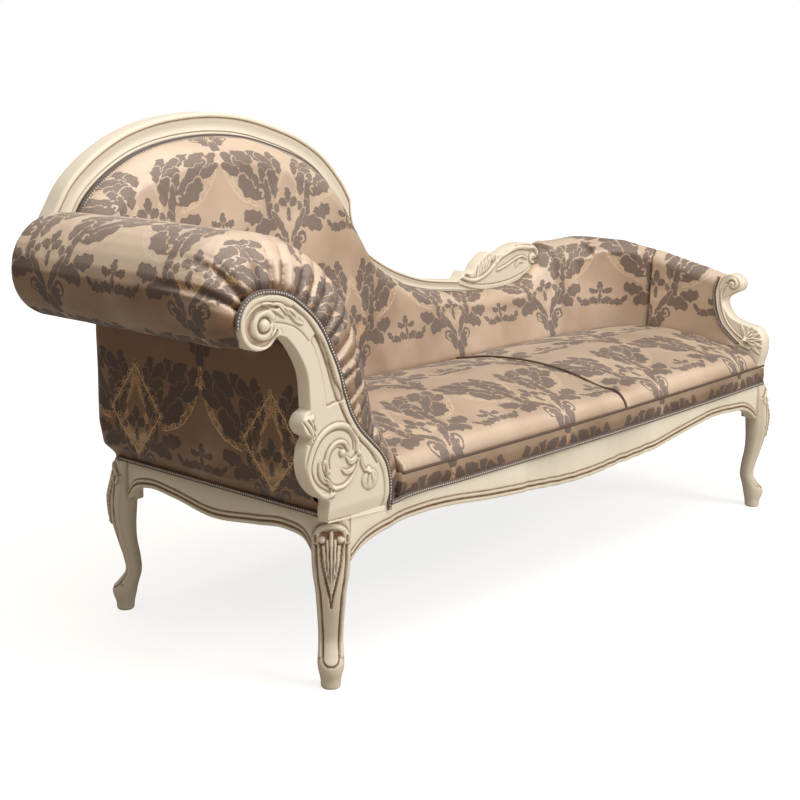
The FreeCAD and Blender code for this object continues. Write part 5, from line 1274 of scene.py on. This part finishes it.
def back_cloth(p, n):
    """Cloth of the whole back: along the back, then round the bend and along the end."""
    flat = upright_cloth(p, n)
    turn = np.arctan2(np.maximum(p[:, 0] - BEND_X, 0), np.maximum(p[:, 1] - BEND_Y, 1e-3))
    past = np.where(p[:, 0] > BEND_X, np.maximum(BEND_Y - p[:, 1], 0), 0)
    flat[:, 0] += (np.minimum(p[:, 0], BEND_X) + BEND_RADIUS * turn + past - p[:, 0]) * MM
    return flat


def end_cloth(p, _):
    return np.stack([(END_START_Y - p[:, 1]) * MM, (p[:, 2] - BACK_START_Z) * MM], 1)


def side_cloth(p, _):
    return np.stack([(p[:, 0] - p[:, 1] - SIDE_START) * MM, (p[:, 2] - SIDE_START_Z) * MM], 1)


def rear_cloth(p, _):
    return np.stack([(p[:, 1] - p[:, 0]) * MM, (p[:, 2] - REAR_START_Z) * MM], 1)


def low_back_shade(p):
    """Painted shade: the low back is made darker than the back under the arch and than the bend, by taking from its
    painted light.
    """
    return -0.42 * np.clip((p[:, 0] + 220) / 220, 0, 1) * np.clip((820 - p[:, 0]) / 160, 0, 1)


def build_upholstery(cloth):
    build_arm_pad(cloth)
    build_pad("back_cushion", ("back_pad_high", "back_pad_low", "foot_corner_pad"), 14, back_cloth, 3,
              shape=round_bend, light_shift=low_back_shade)
    build_pad("foot_arm_cushion", ("foot_arm_pad",), 6, end_cloth, 6)
    # Painted shade: the seat cushions and the side panel get less painted light than their facing gives.
    build_pad("seat_head_cushion", ("seat_pad_head",), 6, seat_cloth, 7, 3.0, shape=seat_front, light_shift=-0.42)
    build_pad("seat_foot_cushion", ("seat_pad_foot",), 6, seat_cloth, 8, 3.0, shape=seat_front, light_shift=-0.36)
    build_pad("head_side_panel", ("head_outside_panel",), 4, side_cloth, 9, 2.0, "side_cloth", (0.1, 0.0),
              light_shift=-0.14)
    for name, node, cover in (("foot_outside_cover", "foot_outside_panel", side_cloth),
                              ("outside_back_cover", "outside_back", rear_cloth)):
        obj = soft_copy(name, (node,), COVER_VOXEL, 2)
        set_uv(obj.data, cover(vertices_of(obj.data), normals_of(obj.data)))
        dress(obj, FINISH["side_cloth"], (node,))
        # Painted shade: the outside covers get little painted light.
        set_painted_light(obj, 0.1)


def build_border():
    """The strip of cloth between the braid on the rail and the piping, with the piping and the seam's welt."""
    piping = smooth_line(piping_line(), 8.0)
    end = np.clip(1 - (piping[:, 0] + 490) / 80, 0, 1)
    front = np.array([(g[:, 0].mean(), g[:, 1].min()) for g in stations("seat_border", 4.0)])
    rows = []
    for c, left in zip(piping, end):
        y = np.interp(c[0], front[:, 0], front[:, 1])
        ring = []
        for t in np.linspace(0, 1, 9):
            bulge = 3.2 * math.sin(math.pi * t)
            ring.append((c[0] - left * (CORNER_BASE - (CORNER_BASE - CORNER_TOP) * t),
                         y + 0.6 - bulge + (c[1] + 1.0 - y - 0.6) * t ** 3,
                         Z_TOP + 0.4 + (c[2] - 1.0 - Z_TOP) * t))
        ring += [(c[0] - left * CORNER_TOP, y + 16, c[2] - 2.0), (c[0] - left * CORNER_BASE, y + 16, Z_TOP + 0.4)]
        rows.append(ring)
    points, faces = skin(rows)
    uv = np.stack([(points[:, 0] - SEAT_START_X) * MM, (points[:, 2] - 534.0) * MM], 1)
    obj = add_piece("seat_border_cloth", points, faces, FINISH["cloth"], ("seat_border",), uv=uv, sharp=60)
    # Painted shade: the border turns to the front and gets little painted light.
    set_painted_light(obj, 0.12, 0.0)
    piping[:, 0] -= CORNER_TOP * end
    cord("seat_piping_cord", "seat_piping", piping, 3.2)
    welt = [(280.0, g[:, 1].mean(), g[:, 2].max() - 2.6) for g in stations("seat_seam_welt", 5.0, axis=1)]
    cord("seat_seam_cord", "seat_seam_welt", smooth_line(welt, 6.0) + [0, 0, 1.6], 2.6)


def build_braids():
    rail = np.array([(g[:, 0].mean(), g[:, 1].min() + 2.0, Z_RAIL_BRAID) for g in stations("front_gimp", 4.0)])
    first = rail[0]
    lead = [(-566, first[1] - 12, Z_RAIL_BRAID), (-540, first[1] - 8, Z_RAIL_BRAID),
            (min(-515, first[0] - 8), first[1] - 3, Z_RAIL_BRAID)]
    path = smooth_line(np.vstack([lead, rail]), 4.0)
    braid("front_braid", "front_gimp", path, (0, -1, 0), 10.0, 4.0, sunk=1.5)
    line = smooth_line(arm_edge()[::2], 3.0)
    path = np.stack([line[:, 0], np.full(len(line), -342.5), line[:, 1]], 1)
    braid("head_arm_braid", "head_arm_gimp", path, (0, -1, 0), 9.0, 4.5)
    path = even_line([(-718.5, -313, Z_RAIL_BRAID), (-718.5, 302, Z_RAIL_BRAID)], count=206)
    braid("head_side_braid", "head_side_gimp", path, (-1, 0, 0), 10.0, 4.0)
    line = smooth_line([(y + 4.5, z) for y, z in FOOT_REAR[1:]], 3.0)
    path = np.stack([np.full(len(line), 941.0), line[:, 0], line[:, 1]], 1)
    braid("foot_post_braid", "foot_post_gimp", path, (-1, 0, 0), 8.0, 4.0)
    path = even_line([(947, 327.3, Z_RAIL_BRAID), (-670, 327.3, Z_RAIL_BRAID)], count=520)
    braid("back_braid", "back_gimp", path, (0, 1, 0), 10.0, 3.0)


# Structural nodes that are shown as they are, with their finishes
CARRIED = {"corner_blocks": "frame_wood", "leg_bolts": "steel", "back_rail": "painted", "seat_slats": "frame_wood",
           "seat_webbing_cross": "webbing", "seat_webbing_long": "webbing", "dust_cover": "lining",
           "seat_foam": "foam", "head_arm_rear_board": "frame_wood", "head_arm_rails": "frame_wood",
           "head_roll_core": "frame_wood", "back_uprights": "frame_wood", "low_back_rail": "frame_wood",
           "foot_arm_rail": "frame_wood"}


def finish_carried():
    for node, finish in CARRIED.items():
        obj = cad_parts[node]
        obj.data.materials.clear()
        obj.data.materials.append(FINISH[finish])


# Stage

CAMERA_PLACE = (-2.678, -2.216, 1.198)
CAMERA_YAW, CAMERA_PITCH, CAMERA_ROLL = 48.8, 12.8, 0.67
SENSOR_WIDTH, LENS = 36.0, 67.5
ROOM_COLOUR, WHITE = (1.0, 0.90, 0.77, 1.0), (1.0, 1.0, 1.0, 1.0)
FLOOR_COLOUR, FLOOR_GLOW_COLOUR = (0.5, 0.46, 0.41, 1.0), (0.99, 1.0, 1.01, 1.0)


def seen_rays(w):
    """One for rays from the camera, also through clear pieces."""
    path = w.add("ShaderNodeLightPath")
    return w.math("MAXIMUM", path.outputs["Is Camera Ray"], path.outputs["Is Transmission Ray"])


def build_floor(stage):
    bpy.ops.object.select_all(action="DESELECT")
    bpy.ops.mesh.primitive_plane_add(size=40.0)
    floor = bpy.context.active_object
    floor.name = "Floor"
    material = bpy.data.materials.new("White floor")
    material.use_nodes = True
    tree = material.node_tree
    tree.nodes.clear()
    w = Wires(tree)
    out = w.add("ShaderNodeOutputMaterial")
    diffuse = w.add("ShaderNodeBsdfDiffuse")
    diffuse.inputs["Color"].default_value = FLOOR_COLOUR
    glow = w.add("ShaderNodeEmission")
    glow.inputs["Color"].default_value = FLOOR_GLOW_COLOUR
    place = w.add("ShaderNodeTexCoord").outputs["Object"]
    far = w.add("ShaderNodeVectorMath", operation="LENGTH")
    w.join(place, far.inputs[0])
    rising = w.math("MULTIPLY_ADD", w.step(far.outputs["Value"], 1.3, 3.0), 1.0 - stage.floor_glow, stage.floor_glow)
    w.join(w.math("MULTIPLY", seen_rays(w), rising), glow.inputs["Strength"])
    both = w.add("ShaderNodeAddShader")
    w.join(diffuse.outputs[0], both.inputs[0])
    w.join(glow.outputs[0], both.inputs[1])
    w.join(both.outputs[0], out.inputs["Surface"])
    floor.data.materials.append(material)


def build_light(stage):
    world = bpy.data.worlds.new("White room")
    bpy.context.scene.world = world
    world.use_nodes = True
    w = Wires(world.node_tree)
    back = world.node_tree.nodes["Background"]
    seen = seen_rays(w)
    w.join(w.mix(seen, ROOM_COLOUR, WHITE), back.inputs["Color"])
    rest = w.math("MULTIPLY", w.math("SUBTRACT", 1.0, seen), stage.room_light)
    w.join(w.math("ADD", seen, rest), back.inputs["Strength"])
    for name, place, aim, size, power in (("Top light", (-0.6, -0.8, 3.4), (0.1, 0.0, 0.4), 3.4, stage.top_light),
                                          ("Front light", (1.5, -4.4, 2.7), (0.1, 0.0, 0.5), 2.2, stage.front_light)):
        bpy.ops.object.select_all(action="DESELECT")
        bpy.ops.object.light_add(type="AREA", location=place)
        lamp = bpy.context.active_object
        lamp.name = name
        lamp.data.shape = "SQUARE"
        lamp.data.size = size
        lamp.data.energy = power
        lamp.rotation_euler = (Vector(aim) - Vector(place)).to_track_quat("-Z", "Y").to_euler()


def build_camera():
    """The camera at the place and angle of the photo."""
    yaw, pitch, roll = (math.radians(v) for v in (CAMERA_YAW, CAMERA_PITCH, CAMERA_ROLL))
    forward = Vector((math.sin(yaw) * math.cos(pitch), math.cos(yaw) * math.cos(pitch), -math.sin(pitch)))
    right = Vector((math.cos(yaw), -math.sin(yaw), 0))
    up = right.cross(forward)
    level = right * math.cos(roll) + up * math.sin(roll)
    upright = -right * math.sin(roll) + up * math.cos(roll)
    turn = Matrix((level, upright, -forward)).transposed().to_4x4()
    bpy.ops.object.camera_add()
    camera = bpy.context.active_object
    camera.name = "Camera"
    camera.matrix_world = Matrix.Translation(CAMERA_PLACE) @ turn
    camera.data.sensor_width = SENSOR_WIDTH
    camera.data.lens = LENS
    camera.data.clip_end = 100.0
    bpy.context.scene.camera = camera
    bpy.context.scene.view_settings.view_transform = "Standard"


# Settings, operators and panel

class ChaiseWood(bpy.types.PropertyGroup):
    carving_depth: bpy.props.FloatProperty(name="Carving depth", description="Scale of all carved relief",
                                           default=1.0, min=0.2, max=2.0)
    paint: bpy.props.FloatVectorProperty(name="Paint", description="Colour of the ivory paint", subtype="COLOR",
                                         size=4, default=(0.83, 0.745, 0.60, 1.0))
    # The glaze colour is also the colour of the painted shade over the legs.
    glaze: bpy.props.FloatVectorProperty(name="Glaze", description="Colour of the glaze in the hollows",
                                         subtype="COLOR", size=4, default=(0.21, 0.11, 0.045, 1.0))


class ChaiseCloth(bpy.types.PropertyGroup):
    fullness: bpy.props.FloatProperty(name="Fullness", description="Unevenness of the stuffing", default=1.0,
                                      min=0.0, max=3.0)
    repeat_width: bpy.props.FloatProperty(name="Repeat width", description="Width of one pattern repeat",
                                          default=0.4, unit="LENGTH")
    repeat_height: bpy.props.FloatProperty(name="Repeat height", description="Height of one pattern repeat",
                                           default=0.58, unit="LENGTH")
    # Ground, leaf and thread are the painted light of the satin, and the shaded ones are its painted shade.
    ground: bpy.props.FloatVectorProperty(name="Ground", description="Satin ground where it faces the light",
                                          subtype="COLOR", size=4, default=(0.69, 0.53, 0.395, 1.0))
    leaf: bpy.props.FloatVectorProperty(name="Leaf", description="Woven leaves where they face the light",
                                        subtype="COLOR", size=4, default=(0.20, 0.145, 0.12, 1.0))
    thread: bpy.props.FloatVectorProperty(name="Thread", description="Light scroll thread where it faces the light",
                                          subtype="COLOR", size=4, default=(0.76, 0.62, 0.46, 1.0))
    shaded_ground: bpy.props.FloatVectorProperty(name="Shaded ground", description="Satin ground turned from the light",
                                               subtype="COLOR", size=4, default=(0.20, 0.102, 0.044, 1.0))
    shaded_leaf: bpy.props.FloatVectorProperty(name="Shaded leaf", description="Woven leaves turned from the light",
                                             subtype="COLOR", size=4, default=(0.062, 0.036, 0.026, 1.0))
    shaded_thread: bpy.props.FloatVectorProperty(name="Shaded thread", description="Scroll thread turned from the light",
                                               subtype="COLOR", size=4, default=(0.62, 0.38, 0.18, 1.0))


class ChaiseStage(bpy.types.PropertyGroup):
    top_light: bpy.props.FloatProperty(name="Top light", description="Power of the large lamp above", default=98.0)
    front_light: bpy.props.FloatProperty(name="Front light", description="Power of the lamp in front", default=120.0)
    room_light: bpy.props.FloatProperty(name="Room light", description="Even light of the room", default=0.3)
    floor_glow: bpy.props.FloatProperty(name="Floor glow", description="Own brightness of the floor as seen",
                                        default=0.76)


class CHAISE_OT_finishes(bpy.types.Operator):
    """Make the paint, cloth, braid and hidden finishes"""
    bl_idname = "chaise.finishes"
    bl_label = "Finishes"

    def execute(self, context):
        make_finishes(context.scene.chaise_wood, context.scene.chaise_cloth)
        finish_carried()
        return {"FINISHED"}


class CHAISE_OT_legs(bpy.types.Operator):
    """Build the four carved cabriole legs"""
    bl_idname = "chaise.legs"
    bl_label = "Carved legs"

    def execute(self, context):
        for name, out_x, out_y in (("leg_head_front", -1, -1), ("leg_foot_front", 1, -1), ("leg_head_back", -1, 1),
                                   ("leg_foot_back", 1, 1)):
            build_leg(name, out_x, out_y, context.scene.chaise_wood)
        return {"FINISHED"}


class CHAISE_OT_rails(bpy.types.Operator):
    """Build the moulded front and end rails"""
    bl_idname = "chaise.rails"
    bl_label = "Moulded rails"

    def execute(self, context):
        build_rails()
        return {"FINISHED"}


class CHAISE_OT_head_post(bpy.types.Operator):
    """Build the carved post of the scrolled arm"""
    bl_idname = "chaise.head_post"
    bl_label = "Head arm post"

    def execute(self, context):
        build_post(context.scene.chaise_wood)
        return {"FINISHED"}


class CHAISE_OT_back_frame(bpy.types.Operator):
    """Build the moulded arch, the low sweep and their braid"""
    bl_idname = "chaise.back_frame"
    bl_label = "Back frame"

    def execute(self, context):
        build_back_frame()
        return {"FINISHED"}


class CHAISE_OT_crest(bpy.types.Operator):
    """Build the carved crest on the low back"""
    bl_idname = "chaise.crest"
    bl_label = "Crest"

    def execute(self, context):
        build_crest(context.scene.chaise_wood)
        return {"FINISHED"}


class CHAISE_OT_foot_post(bpy.types.Operator):
    """Build the carved post at the foot end"""
    bl_idname = "chaise.foot_post"
    bl_label = "Foot arm post"

    def execute(self, context):
        build_foot_post(context.scene.chaise_wood)
        return {"FINISHED"}


class CHAISE_OT_upholstery(bpy.types.Operator):
    """Build the stuffed and covered pieces"""
    bl_idname = "chaise.upholstery"
    bl_label = "Upholstery"

    def execute(self, context):
        build_upholstery(context.scene.chaise_cloth)
        return {"FINISHED"}


class CHAISE_OT_border(bpy.types.Operator):
    """Build the seat border, its piping and the seam welt"""
    bl_idname = "chaise.border"
    bl_label = "Seat border"

    def execute(self, context):
        build_border()
        return {"FINISHED"}


class CHAISE_OT_braids(bpy.types.Operator):
    """Build the dotted braids"""
    bl_idname = "chaise.braids"
    bl_label = "Braids"

    def execute(self, context):
        build_braids()
        return {"FINISHED"}


class CHAISE_OT_stage(bpy.types.Operator):
    """Build the floor, room, lamps and camera"""
    bl_idname = "chaise.stage"
    bl_label = "Stage"

    def execute(self, context):
        build_floor(context.scene.chaise_stage)
        build_light(context.scene.chaise_stage)
        build_camera()
        return {"FINISHED"}


OPERATORS = (CHAISE_OT_finishes, CHAISE_OT_legs, CHAISE_OT_rails, CHAISE_OT_head_post, CHAISE_OT_back_frame,
             CHAISE_OT_crest, CHAISE_OT_foot_post, CHAISE_OT_upholstery, CHAISE_OT_border, CHAISE_OT_braids,
             CHAISE_OT_stage)


class CHAISE_PT_panel(bpy.types.Panel):
    """Settings and steps of the chaise longue"""
    bl_idname = "CHAISE_PT_panel"
    bl_label = "Chaise Longue"
    bl_space_type = "VIEW_3D"
    bl_region_type = "UI"
    bl_category = "Chaise"

    def draw(self, context):
        for group in (context.scene.chaise_wood, context.scene.chaise_cloth, context.scene.chaise_stage):
            for key in group.__annotations__:
                self.layout.prop(group, key)
        for operator in OPERATORS:
            self.layout.operator(operator.bl_idname)


def register():
    for item in (ChaiseWood, ChaiseCloth, ChaiseStage) + OPERATORS + (CHAISE_PT_panel,):
        bpy.utils.register_class(item)
    bpy.types.Scene.chaise_wood = bpy.props.PointerProperty(type=ChaiseWood)
    bpy.types.Scene.chaise_cloth = bpy.props.PointerProperty(type=ChaiseCloth)
    bpy.types.Scene.chaise_stage = bpy.props.PointerProperty(type=ChaiseStage)


def unregister():
    del bpy.types.Scene.chaise_stage
    del bpy.types.Scene.chaise_cloth
    del bpy.types.Scene.chaise_wood
    for item in reversed((ChaiseWood, ChaiseCloth, ChaiseStage) + OPERATORS + (CHAISE_PT_panel,)):
        bpy.utils.unregister_class(item)


def main():
    register()
    bpy.ops.chaise.finishes()
    bpy.ops.chaise.legs()
    bpy.ops.chaise.rails()
    bpy.ops.chaise.head_post()
    bpy.ops.chaise.back_frame()
    bpy.ops.chaise.crest()
    bpy.ops.chaise.foot_post()
    bpy.ops.chaise.upholstery()
    bpy.ops.chaise.border()
    bpy.ops.chaise.braids()
    bpy.ops.chaise.stage()


if __name__ == "__main__":
    main()
